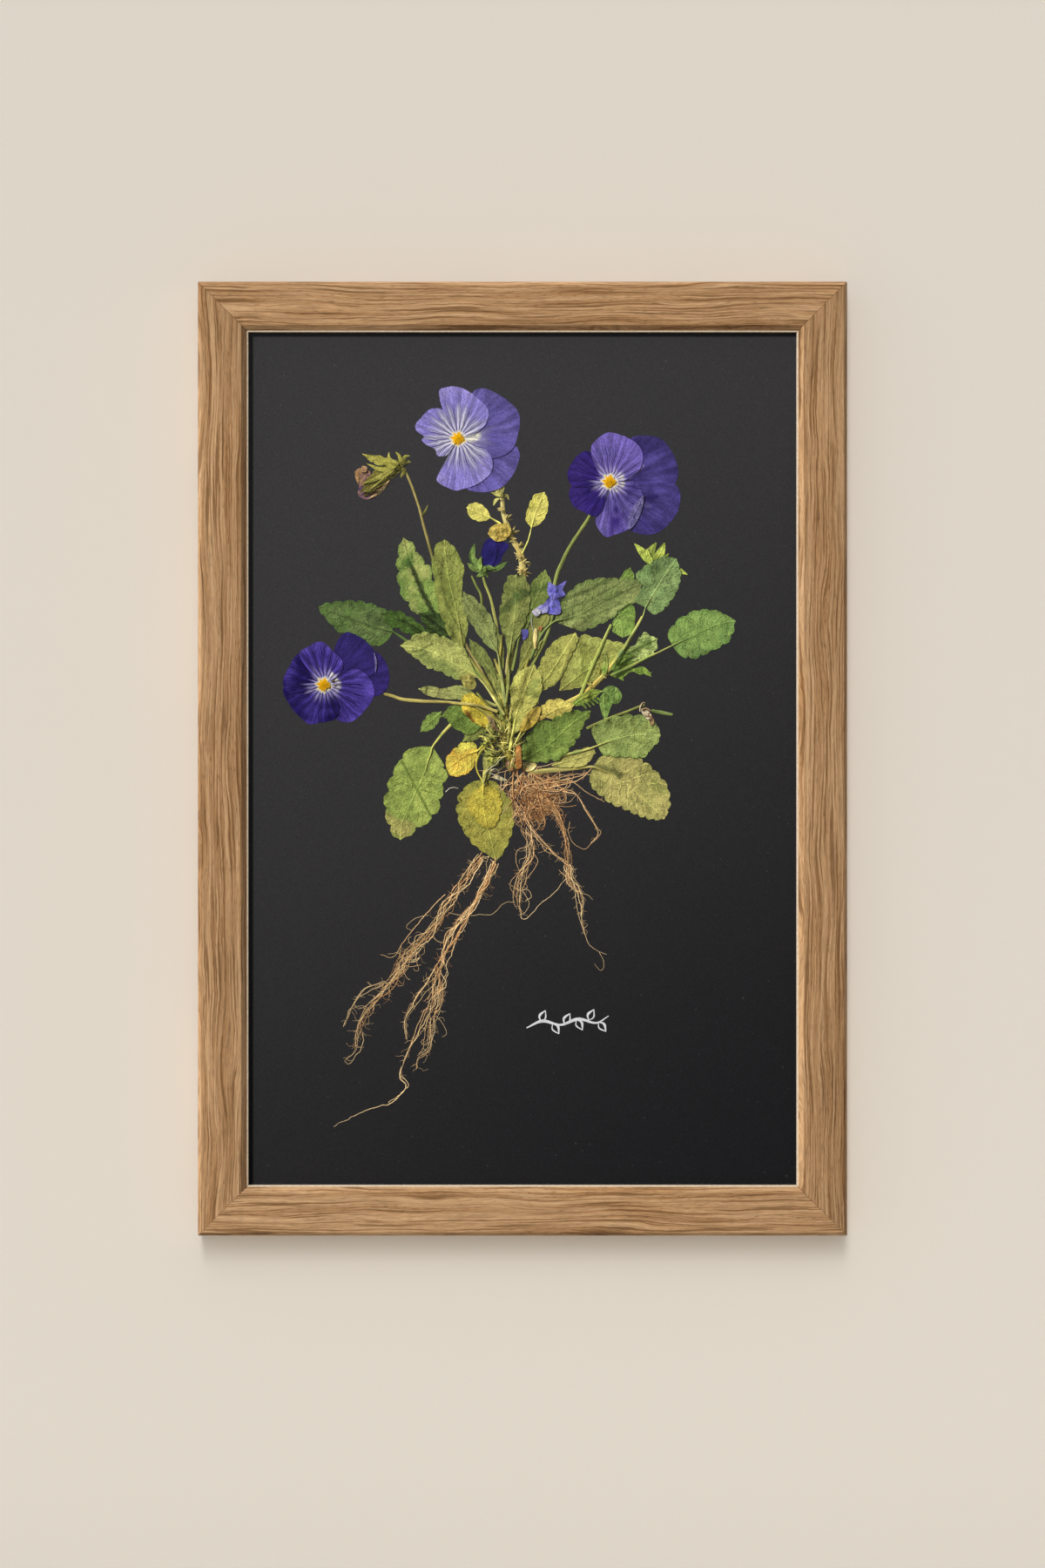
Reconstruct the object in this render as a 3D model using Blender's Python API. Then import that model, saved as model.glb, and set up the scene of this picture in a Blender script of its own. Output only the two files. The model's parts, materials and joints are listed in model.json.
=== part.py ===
"""Pressed flower frame: a mitred oak frame with one pressed pansy plant on a black card.

Metres, +Z up. The frame hangs upright: its front faces -Y, and +X is to the right as seen from the
front. The origin is where a nail in the wall carries the sawtooth hanger, in the plane of the rails'
back faces. All sizes below are in millimetres, and MM turns them into metres.
"""

import math

import bmesh
import bpy
from mathutils import Vector

MM = 0.001

# The frame
SIGHT_WIDTH = 273.0  # the opening that the card shows through
SIGHT_HEIGHT = 424.5
RAIL_WIDTH = 25.0
RAIL_DEPTH = 22.0
RABBET_WIDTH = 5.0  # how far the lip reaches in over the glass
RABBET_DEPTH = 16.0  # from the back of the frame to the underside of the lip
OUTER_CHAMFER = 1.6
INNER_CHAMFER = 2.6
LIP_LEDGE = 0.8  # the narrow flat step along the sight edge
GAP = 0.3  # between pieces that touch
HANGER_DROP = 13.0  # from the top of the frame down to the wall nail

OUTER_WIDTH = SIGHT_WIDTH + 2 * RAIL_WIDTH
OUTER_HEIGHT = SIGHT_HEIGHT + 2 * RAIL_WIDTH
CENTRE_Z = HANGER_DROP - OUTER_HEIGHT / 2

# What lies in the rabbet, from the front to the back; depths are counted from the back of the frame
GLASS_THICK = 2.0
SPACER_DEEP = 5.6
CARD_THICK = 1.4
BACKING_THICK = 3.0
PANE_CLEARANCE = 1.5  # between a pane's edge and the rabbet wall
SPACER_WIDTH = 3.0
GLASS_FRONT = RABBET_DEPTH - GAP
SPACER_FRONT = GLASS_FRONT - GLASS_THICK - GAP
CARD_FRONT = SPACER_FRONT - SPACER_DEEP - GAP
BACKING_FRONT = CARD_FRONT - CARD_THICK - GAP
PANE_WIDTH = SIGHT_WIDTH + 2 * (RABBET_WIDTH - PANE_CLEARANCE)
PANE_HEIGHT = SIGHT_HEIGHT + 2 * (RABBET_WIDTH - PANE_CLEARANCE)

# Flex points, the bent steel tabs that hold the backing board in
POINT_WIDTH = 7.0
POINT_THICK = 0.6
POINT_IN_WOOD = 5.0
POINT_OVER_BOARD = 10.0
POINT_FRONT = BACKING_FRONT - BACKING_THICK - GAP
POINT_ALONG_SIDE = 130.0  # from the middle of a long rail to each of its two points

# Sawtooth hanger
PLATE_LENGTH = 46.0
PLATE_TOP = 6.5  # above the wall nail
PLATE_BOTTOM = -1.5
PLATE_THICK = 0.8
EAR_LENGTH = 7.0
RAMP_LENGTH = 2.0
PLATE_RISE = 1.6  # how far the toothed middle stands off the ears
NOTCH_TOP = 1.0
TOOTH_COUNT = 9
NAIL_SHANK_RADIUS = 0.8
NAIL_HEAD_RADIUS = 2.2
NAIL_HEAD_THICK = 0.8
NAIL_IN_WOOD = 8.0

# The pressed plant: flat pieces in layers, each a gap in front of the one behind it
BLADE_THICK = 0.4
LAYER_PITCH = BLADE_THICK + GAP
STALK_WIDTH = 1.2

OAK = (0.48, 0.28, 0.14)
BLACK_CARD = (0.022, 0.021, 0.023)
KRAFT_BOARD = (0.34, 0.23, 0.13)
SPACER_BLACK = (0.03, 0.03, 0.03)
CLEAR_GLASS = (0.95, 0.98, 0.97)
STEEL = (0.62, 0.61, 0.58)
BRASSED = (0.66, 0.52, 0.27)
LEAF_GREEN = (0.10, 0.17, 0.07)
LEAF_LIGHT = (0.24, 0.30, 0.10)
LEAF_OLIVE = (0.30, 0.28, 0.10)
LEAF_YELLOW = (0.58, 0.42, 0.09)
PETAL_BLUE = (0.20, 0.16, 0.50)
PETAL_VIOLET = (0.10, 0.06, 0.33)
PETAL_DARK = (0.05, 0.03, 0.24)
STALK_GREEN = (0.32, 0.34, 0.12)
ROOT_BROWN = (0.36, 0.18, 0.08)
ROOT_PALE = (0.55, 0.38, 0.20)


def clear_scene():
    for old in list(bpy.data.objects):
        bpy.data.objects.remove(old, do_unlink=True)


def finish(name, colour, roughness, metallic=0.0, transmission=0.0):
    material = bpy.data.materials.new(name)
    material.use_nodes = True
    shader = material.node_tree.nodes["Principled BSDF"]
    shader.inputs["Base Color"].default_value = (*colour, 1.0)
    shader.inputs["Roughness"].default_value = roughness
    shader.inputs["Metallic"].default_value = metallic
    shader.inputs["Transmission Weight"].default_value = transmission
    material.diffuse_color = (*colour, 1.0)
    return material


def add_object(name, bm, material=None):
    """The mesh in bm, which is in millimetres, as an object in metres with its faces pointing out."""
    bm.normal_update()
    bmesh.ops.recalc_face_normals(bm, faces=bm.faces)
    bmesh.ops.scale(bm, vec=Vector((MM, MM, MM)), verts=bm.verts)
    mesh = bpy.data.meshes.new(name)
    bm.to_mesh(mesh)
    bm.free()
    obj = bpy.data.objects.new(name, mesh)
    bpy.context.scene.collection.objects.link(obj)
    if material:
        mesh.materials.append(material)
    else:
        obj.hide_render = True
        obj.display_type = "WIRE"
    return obj


def cut(obj, cutter):
    boolean = obj.modifiers.new("cut_" + cutter.name, "BOOLEAN")
    boolean.operation = "DIFFERENCE"
    boolean.object = cutter


def box_mesh(low, high):
    bm = bmesh.new()
    made = bmesh.ops.create_cube(bm, size=1.0)
    for vert in made["verts"]:
        vert.co = Vector(high[i] if vert.co[i] > 0 else low[i] for i in range(3))
    return bm


def rod_mesh(centre, radius, low_y, high_y, sides=16):
    """A cylinder along Y."""
    bm = bmesh.new()
    made = bmesh.ops.create_cone(
        bm, cap_ends=True, segments=sides, radius1=radius, radius2=radius, depth=high_y - low_y
    )
    for vert in made["verts"]:
        x, y, z = vert.co
        vert.co = Vector((centre[0] + x, (low_y + high_y) / 2 + z, centre[1] + y))
    return bm


def slab_mesh(outline, front, thick):
    """A flat plate: the outline is (x, z) points, and front is its depth from the frame's back."""
    bm = bmesh.new()
    face = bm.faces.new([bm.verts.new((x, -front, z)) for x, z in outline])
    made = bmesh.ops.extrude_face_region(bm, geom=[face])
    back = [item for item in made["geom"] if isinstance(item, bmesh.types.BMVert)]
    bmesh.ops.translate(bm, vec=(0.0, thick, 0.0), verts=back)
    return bm


# ---------------------------------------------------------------- the frame


def rail_profile():
    """The moulding's section: (distance in from the outer edge, distance out from the back)."""
    flat_end = RAIL_WIDTH - LIP_LEDGE - INNER_CHAMFER
    ledge = RAIL_DEPTH - INNER_CHAMFER
    return [
        (0.0, 0.0),
        (0.0, RAIL_DEPTH - OUTER_CHAMFER),
        (OUTER_CHAMFER, RAIL_DEPTH),
        (flat_end, RAIL_DEPTH),
        (flat_end + INNER_CHAMFER, ledge),
        (RAIL_WIDTH, ledge),
        (RAIL_WIDTH, RABBET_DEPTH),
        (RAIL_WIDTH - RABBET_WIDTH, RABBET_DEPTH),
        (RAIL_WIDTH - RABBET_WIDTH, 0.0),
    ]


def add_rail(name, side, length):
    """One mitred rail. side is the (x, z) direction from the middle of the frame to the rail."""
    along = (side[1], -side[0])
    reach = OUTER_WIDTH / 2 if side[0] else OUTER_HEIGHT / 2
    mitre_gap = GAP / math.sqrt(2)
    bm = bmesh.new()
    rings = []
    for end in (-1, 1):
        ring = []
        for inward, outward in rail_profile():
            run = end * (length / 2 - inward - mitre_gap)
            out = reach - inward
            x = side[0] * out + along[0] * run
            z = side[1] * out + along[1] * run + CENTRE_Z
            ring.append(bm.verts.new((x, -outward, z)))
        rings.append(ring)
    count = len(rings[0])
    for i in range(count):
        j = (i + 1) % count
        bm.faces.new((rings[0][i], rings[0][j], rings[1][j], rings[1][i]))
    bm.faces.new(rings[0])
    bm.faces.new(list(reversed(rings[1])))
    return add_object(name, bm, finish(name, OAK, 0.6))


def add_rails():
    return {
        "top": add_rail("rail_top", (0, 1), OUTER_WIDTH),
        "bottom": add_rail("rail_bottom", (0, -1), OUTER_WIDTH),
        "left": add_rail("rail_left", (-1, 0), OUTER_HEIGHT),
        "right": add_rail("rail_right", (1, 0), OUTER_HEIGHT),
    }


def add_pane(name, front, thick, material):
    half_width = PANE_WIDTH / 2
    low = (-half_width, -front, CENTRE_Z - PANE_HEIGHT / 2)
    high = (half_width, -front + thick, CENTRE_Z + PANE_HEIGHT / 2)
    return add_object(name, box_mesh(low, high), material)


def add_spacers():
    """Four strips between the glass and the card, out of sight under the lip."""
    half_width = PANE_WIDTH / 2
    half_height = PANE_HEIGHT / 2
    back, front = -SPACER_FRONT + SPACER_DEEP, -SPACER_FRONT
    inner = half_height - SPACER_WIDTH
    spans = {
        "spacer_top": ((-half_width, inner), (half_width, half_height)),
        "spacer_bottom": ((-half_width, -half_height), (half_width, -inner)),
        "spacer_left": ((-half_width, -inner + GAP), (-half_width + SPACER_WIDTH, inner - GAP)),
        "spacer_right": ((half_width - SPACER_WIDTH, -inner + GAP), (half_width, inner - GAP)),
    }
    for name, (low, high) in spans.items():
        mesh = box_mesh((low[0], front, CENTRE_Z + low[1]), (high[0], back, CENTRE_Z + high[1]))
        add_object(name, mesh, finish(name, SPACER_BLACK, 0.8))


def flex_point_outline(width, inside, over):
    """A tab that points into the wood along +X from the rabbet wall, at the origin."""
    half = width / 2
    return [
        (inside, 0.0),
        (inside - half, half),
        (-over + half / 2, half),
        (-over, half / 2),
        (-over, -half / 2),
        (-over + half / 2, -half),
        (inside - half, -half),
    ]


def place_on_wall(points, side, along):
    """Turns points drawn for the right-hand rabbet wall to the wall on this side."""
    reach = RAIL_WIDTH - RABBET_WIDTH
    wall = (OUTER_WIDTH if side[0] else OUTER_HEIGHT) / 2 - reach
    placed = []
    for out, across in points:
        x = side[0] * (wall + out) + side[1] * (along + across)
        z = side[1] * (wall + out) + side[0] * (along + across)
        placed.append((x, CENTRE_Z + z))
    return placed


def add_flex_points(rails):
    places = [
        ("top", (0, 1), 60.0),
        ("bottom", (0, -1), 0.0),
        ("left", (-1, 0), -POINT_ALONG_SIDE),
        ("left", (-1, 0), POINT_ALONG_SIDE),
        ("right", (1, 0), -POINT_ALONG_SIDE),
        ("right", (1, 0), POINT_ALONG_SIDE),
    ]
    for number, (rail, side, along) in enumerate(places, start=1):
        name = f"flex_point_{number}"
        tab = flex_point_outline(POINT_WIDTH, POINT_IN_WOOD, POINT_OVER_BOARD)
        mesh = slab_mesh(place_on_wall(tab, side, along), POINT_FRONT, POINT_THICK)
        add_object(name, mesh, finish(name, STEEL, 0.35, metallic=1.0))
        half = POINT_WIDTH / 2 + GAP
        slot = [(-GAP, -half), (POINT_IN_WOOD + GAP, -half), (POINT_IN_WOOD + GAP, half), (-GAP, half)]
        placed = place_on_wall(slot, side, along)
        cutter = slab_mesh(placed, POINT_FRONT + GAP, POINT_THICK + 2 * GAP)
        cut(rails[rail], add_object(f"slot_{number}", cutter))


def hanger_stations():
    """(x, height off the wood, bottom edge) along the hanger plate, from left to right."""
    middle = PLATE_LENGTH / 2 - EAR_LENGTH - RAMP_LENGTH
    stations = [(-PLATE_LENGTH / 2, 0.0, PLATE_BOTTOM), (-middle - RAMP_LENGTH, 0.0, PLATE_BOTTOM)]
    steps = 2 * TOOTH_COUNT
    for step in range(steps + 1):
        x = -middle + 2 * middle * step / steps
        in_notch = step % 2 == 1
        stations.append((x, PLATE_RISE, NOTCH_TOP if in_notch else PLATE_BOTTOM))
    stations.append((middle + RAMP_LENGTH, 0.0, PLATE_BOTTOM))
    stations.append((PLATE_LENGTH / 2, 0.0, PLATE_BOTTOM))
    return stations


def add_hanger(rails):
    """The sawtooth plate stands off the rail's back, and its teeth point down over the wall nail."""
    bm = bmesh.new()
    columns = []
    for x, rise, bottom in hanger_stations():
        near, far = GAP + rise, GAP + rise + PLATE_THICK
        corners = [(x, near, PLATE_TOP), (x, far, PLATE_TOP), (x, far, bottom), (x, near, bottom)]
        columns.append([bm.verts.new(corner) for corner in corners])
    for left, right in zip(columns, columns[1:]):
        for i in range(4):
            j = (i + 1) % 4
            bm.faces.new((left[i], left[j], right[j], right[i]))
    bm.faces.new(columns[0])
    bm.faces.new(list(reversed(columns[-1])))
    plate = add_object("hanger_plate", bm, finish("hanger_plate", BRASSED, 0.35, metallic=1.0))
    for name, side in (("hanger_nail_left", -1), ("hanger_nail_right", 1)):
        centre = (side * (PLATE_LENGTH - EAR_LENGTH) / 2, (PLATE_TOP + PLATE_BOTTOM) / 2)
        head_low = 2 * GAP + PLATE_THICK
        nail = rod_mesh(centre, NAIL_SHANK_RADIUS, -NAIL_IN_WOOD, head_low + NAIL_HEAD_THICK / 2)
        shank = add_object(name, nail, finish(name, STEEL, 0.35, metallic=1.0))
        head = rod_mesh(centre, NAIL_HEAD_RADIUS, head_low, head_low + NAIL_HEAD_THICK)
        union = shank.modifiers.new("head", "BOOLEAN")
        union.operation = "UNION"
        union.object = add_object(name + "_head", head)
        hole = rod_mesh(centre, NAIL_SHANK_RADIUS + GAP, -NAIL_IN_WOOD - GAP, head_low)
        drill = add_object(name + "_hole", hole)
        cut(rails["top"], drill)
        cut(plate, drill)


# ---------------------------------------------------------------- the plant
# Points are (x, z) on the card: right of its centre and above it.


def smooth(points, steps=3, closed=False):
    """A centripetal Catmull-Rom curve through the points, with so many steps between each pair."""
    points = [Vector(point) for point in points]
    if closed:
        chain = [points[-1], *points, points[0], points[1]]
    else:
        chain = [2 * points[0] - points[1], *points, 2 * points[-1] - points[-2]]
    curve = []
    for p0, p1, p2, p3 in zip(chain, chain[1:], chain[2:], chain[3:]):
        t1 = math.sqrt((p1 - p0).length)
        t2 = t1 + math.sqrt((p2 - p1).length)
        t3 = t2 + math.sqrt((p3 - p2).length)
        for step in range(steps):
            t = t1 + (t2 - t1) * step / steps
            a1 = p0 * ((t1 - t) / t1) + p1 * (t / t1)
            a2 = p1 * ((t2 - t) / (t2 - t1)) + p2 * ((t - t1) / (t2 - t1))
            a3 = p2 * ((t3 - t) / (t3 - t2)) + p3 * ((t - t2) / (t3 - t2))
            b1 = a1 * ((t2 - t) / t2) + a2 * (t / t2)
            b2 = a2 * ((t3 - t) / (t3 - t1)) + a3 * ((t - t1) / (t3 - t1))
            curve.append(b1 * ((t2 - t) / (t2 - t1)) + b2 * ((t - t1) / (t2 - t1)))
    return curve if closed else curve + [points[-1]]


def offsets(path, widths, side):
    """The path moved sideways by half of its width at each point."""
    moved = []
    for i, point in enumerate(path):
        ahead = path[min(i + 1, len(path) - 1)] - path[max(i - 1, 0)]
        across = Vector((-ahead.y, ahead.x)).normalized()
        moved.append(point + across * side * widths[i] / 2)
    return moved


def add_flat_piece(name, outline, layer, colour, thick=BLADE_THICK):
    """A pressed piece in its layer: layer 0 lies on the card."""
    front = CARD_FRONT + GAP + layer * LAYER_PITCH + thick
    placed = [(x, z + CENTRE_Z) for x, z in outline]
    return add_object(name, slab_mesh(placed, front, thick), finish(name, colour, 0.7))


def add_leaf(name, layer, colour, base, tip, edge_one, edge_two, stalk=()):
    """A blade with its stalk. The edges run from base to tip, and the stalk from base to its end."""
    axis = Vector(tip) - Vector(base)
    first = Vector(edge_one[0]) - Vector(base)
    side = 1 if axis.x * first.y - axis.y * first.x > 0 else -1
    path = [Vector(point) for point in [*reversed(stalk), base]]
    if len(path) == 1:
        path.insert(0, path[0] - axis.normalized())
    widths = [STALK_WIDTH] * len(path)
    up = offsets(path, widths, side) + [Vector(point) for point in edge_one]
    down = offsets(path, widths, -side) + [Vector(point) for point in edge_two]
    outline = smooth([*up, Vector(tip), *reversed(down)])
    add_flat_piece(name, outline, layer, colour)


def add_strand(name, layer, colour, points, widths, thick=BLADE_THICK):
    """A stem or a root: a ribbon whose width changes evenly between the widths given along it."""
    path = smooth(points)
    spread = []
    for i in range(len(path)):
        place = i / (len(path) - 1) * (len(widths) - 1)
        k = min(int(place), len(widths) - 2)
        spread.append(widths[k] + (widths[k + 1] - widths[k]) * (place - k))
    outline = offsets(path, spread, 1) + list(reversed(offsets(path, spread, -1)))
    add_flat_piece(name, outline, layer, colour, thick)


def add_rosette(name, layer, colour, points, thick=BLADE_THICK):
    """A flower, bud or tangle: one flat piece with a rounded outline."""
    add_flat_piece(name, smooth(points, steps=2, closed=True), layer, colour, thick)


def add_flowers():
    add_rosette(
        "flower_top", 3, PETAL_BLUE,
        [(-41.5, 184.5), (-34, 186), (-25, 182.5), (-18.5, 184.5), (-8.5, 180), (-2.5, 173),
         (-1.5, 166), (-3.5, 157.5), (-1.5, 151), (-3.5, 143.5), (-9, 137), (-14.5, 134),
         (-22.5, 133), (-33, 134), (-43, 139), (-40, 146.5), (-42.5, 152), (-48.5, 157),
         (-53, 164.5), (-50.5, 171), (-45.5, 174.5), (-40.5, 174.5)],
    )
    add_rosette(
        "flower_right", 3, PETAL_VIOLET,
        [(35, 157.5), (42, 162.5), (53, 160.5), (60.5, 161.5), (68, 160), (75, 153.5), (77.5, 147.5),
         (77, 140), (78.5, 132), (77.5, 122.5), (71, 115.5), (64.5, 112.5), (53, 114), (46, 112),
         (41.5, 111.5), (37, 116), (35.5, 121), (29.5, 124), (25.5, 126.5), (23, 132), (25, 136.5),
         (23, 144.5), (26.5, 150.5), (32.5, 153.5)],
    )
    add_rosette(
        "flower_left", 5, PETAL_DARK,
        [(-111, 52.5), (-103.5, 58), (-100, 58), (-95, 53.5), (-93.5, 56.5), (-88.5, 63), (-82, 61.5),
         (-77, 57.5), (-74.5, 53.5), (-69, 50), (-67, 44), (-68, 35), (-74.5, 33.5), (-75.5, 28),
         (-82, 21), (-87.5, 18.5), (-97, 18.5), (-107, 17.5), (-114, 24), (-118.5, 30.5),
         (-119.5, 37), (-116, 47.5)],
    )


def add_buds():
    add_rosette(
        "bud_purple", 1, PETAL_DARK,
        [(-16, 110.5), (-6.5, 106.5), (-9.5, 102.5), (-11.5, 97.5), (-17.5, 94), (-25, 91.5),
         (-27.5, 95.5), (-24, 100), (-25, 107), (-21.5, 104.5), (-19.5, 108)],
        thick=1.0,
    )
    add_rosette(
        "flower_wilted", 1, LEAF_OLIVE,
        [(-58, 151.5), (-66, 152), (-69.5, 148.5), (-76, 149), (-80, 152.5), (-78, 146.5),
         (-82.5, 143.5), (-83, 134.5), (-80, 130.5), (-74, 130), (-69.5, 134.5), (-63, 142),
         (-57.5, 146.5)],
        thick=1.0,
    )
    add_rosette(
        "bud_green", 1, LEAF_LIGHT,
        [(56, 107), (62.5, 105), (68, 108.5), (72.5, 107), (71, 101.5), (65.5, 98), (61.5, 100)],
        thick=1.0,
    )


def add_stems():
    add_strand(
        "crown_stem", 3, STALK_GREEN,
        [(-9, 35), (-9.5, 25), (-8, 12), (-7, 1.5), (-3, -4)], [3.5, 5.5, 6.0, 5.0],
    )
    add_strand(
        "stem_of_top_flower", 1, LEAF_YELLOW,
        [(-10.5, 131), (-9.5, 123), (-5.5, 111), (-0.5, 101), (0, 92), (-1.5, 74), (-5.5, 56.5),
         (-7.5, 41.5)], [2.2, 3.0, 3.4, 2.6],
    )
    add_strand(
        "stem_of_right_flower", 1, STALK_GREEN,
        [(33.5, 121), (23, 104.5), (16.5, 88.5), (15.5, 74), (10.5, 57.5), (2, 41.5), (-3, 30.5)],
        [1.6, 2.0, 2.0],
    )
    add_strand(
        "stem_of_left_flower", 4, STALK_GREEN,
        [(-69, 31.5), (-58.5, 29.5), (-36.5, 28), (-24, 27), (-12.5, 23.5)], [2.4, 1.8, 1.8],
    )
    add_strand(
        "stem_of_wilted_flower", 0, STALK_GREEN,
        [(-59, 145), (-55.5, 137), (-51.5, 125), (-50, 119), (-46, 104.5), (-40, 82.5), (-30.5, 61),
         (-15, 35)], [1.4, 1.8, 1.8],
    )
    add_strand(
        "stem_of_bud", 2, STALK_GREEN, [(-20, 92), (-16, 80.5), (-13, 65.5), (-10.5, 39.5)], [1.6, 1.8],
    )
    add_strand(
        "side_shoot", 2, STALK_GREEN,
        [(52, 57), (40.5, 41.5), (30, 32), (17, 25), (0, 15.5)], [1.6, 2.2, 2.8, 3.4],
    )


def add_upper_leaves():
    add_leaf(
        "leaf_tall_dark", 1, LEAF_GREEN, (-36.5, 62.5), (-59.5, 110.5),
        [(-50, 69), (-58.5, 77.5), (-62, 84.5), (-63.5, 97.5), (-62, 106.5)],
        [(-40, 74), (-43, 86.5), (-46.5, 97.5), (-51, 102), (-55, 108.5)], [(-30, 54)],
    )
    add_leaf(
        "leaf_tall_light", 2, LEAF_LIGHT, (-29.5, 55.5), (-39, 109.5),
        [(-36.5, 61), (-42, 74), (-44.5, 87), (-45.5, 101), (-43.5, 107)],
        [(-27, 68), (-30, 84.5), (-29, 96), (-32, 102.5), (-35.5, 108)], [(-20, 41)],
    )
    add_leaf(
        "leaf_narrow_centre", 3, LEAF_LIGHT, (-12.5, 53), (-29.5, 83.5),
        [(-19.5, 58), (-24, 64.5), (-28.5, 71.5), (-31, 77.5)],
        [(-13, 64.5), (-17, 74), (-20.5, 77.5), (-25, 81.5)], [(-10, 38)],
    )
    add_leaf(
        "leaf_torn_top", 3, LEAF_LIGHT, (-7, 49.5), (-3, 92),
        [(-8, 56.5), (-12, 70), (-10.5, 81.5), (-9.5, 86.5), (-7.5, 91.5)],
        [(-3.5, 57.5), (-0.5, 63.5), (3.5, 74), (4, 85), (1.5, 91.5)], [(-7, 39)],
    )


def add_left_leaves():
    add_leaf(
        "leaf_left_high", 1, LEAF_GREEN, (-65, 63.5), (-102, 76),
        [(-66.5, 60.5), (-71, 56.5), (-75, 56), (-81, 60.5), (-90.5, 62), (-97, 68), (-101, 72.5)],
        [(-65.5, 69), (-66.5, 73.5), (-71, 76), (-77, 78.5), (-84, 79.5), (-92.5, 79), (-99, 78)],
        [(-58, 59)],
    )
    add_leaf(
        "leaf_left_middle", 5, LEAF_LIGHT, (-22.5, 41), (-61, 56.5),
        [(-25, 46), (-29, 55.5), (-34, 59), (-39.5, 61.5), (-45, 63), (-51.5, 63.5), (-57.5, 59.5)],
        [(-28.5, 39), (-35, 40), (-42, 43.5), (-47.5, 45), (-51.5, 48.5), (-57, 52.5)],
        [(-16.5, 33.5), (-11, 26.5)],
    )
    add_leaf(
        "leaf_left_long", 2, LEAF_OLIVE, (-22, 30), (-52, 35),
        [(-25, 33.5), (-31.5, 37), (-38.5, 35.5), (-48, 36.5)],
        [(-25.5, 29), (-35, 29.5), (-43.5, 30.5), (-49.5, 32.5)], [(-13, 26.5)],
    )
    add_leaf(
        "leaf_left_low", 2, LEAF_LIGHT, (-45, 6), (-61, -40.5),
        [(-52, 6), (-58.5, 4), (-64.5, -5), (-68, -13), (-69.5, -18.5), (-69.5, -24), (-67.5, -34),
         (-65, -38.5)],
        [(-41, 0), (-37, -7.5), (-39, -14), (-40.5, -23.5), (-45, -30.5), (-51.5, -35),
         (-56.5, -39)],
        [(-38.5, 14), (-31, 21.5)],
    )
    add_leaf(
        "leaf_orange", 1, LEAF_YELLOW, (-22.5, 4), (-38, -5.5),
        [(-23.5, 7.5), (-26.5, 9), (-31, 8), (-35.5, 4), (-38.5, 0)],
        [(-23, -0.5), (-26, -6.5), (-32, -9), (-36, -8.5)], [(-16, 10.5)],
    )
    add_leaf(
        "leaf_low_olive", 1, LEAF_OLIVE, (-19.5, -10.5), (-13, -51),
        [(-25, -11.5), (-32, -17.5), (-33.5, -24.5), (-32.5, -30.5), (-29, -37.5), (-25, -43),
         (-19.5, -47)],
        [(-13.5, -11.5), (-9.5, -16), (-5, -21), (-4, -27.5), (-4.5, -35.5), (-6.5, -41.5),
         (-9.5, -47.5)],
        [(-18.5, -5), (-12.5, 2)],
    )
    add_leaf(
        "leaf_low_yellow", 2, LEAF_YELLOW, (-19.5, -12.5), (-17.5, -35),
        [(-22.5, -15), (-27, -19), (-27.5, -24.5), (-24, -30), (-21, -33.5)],
        [(-16, -14), (-13, -15), (-10, -21), (-11, -28.5), (-14, -34)], [(-19.5, -5.5)],
    )


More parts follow.
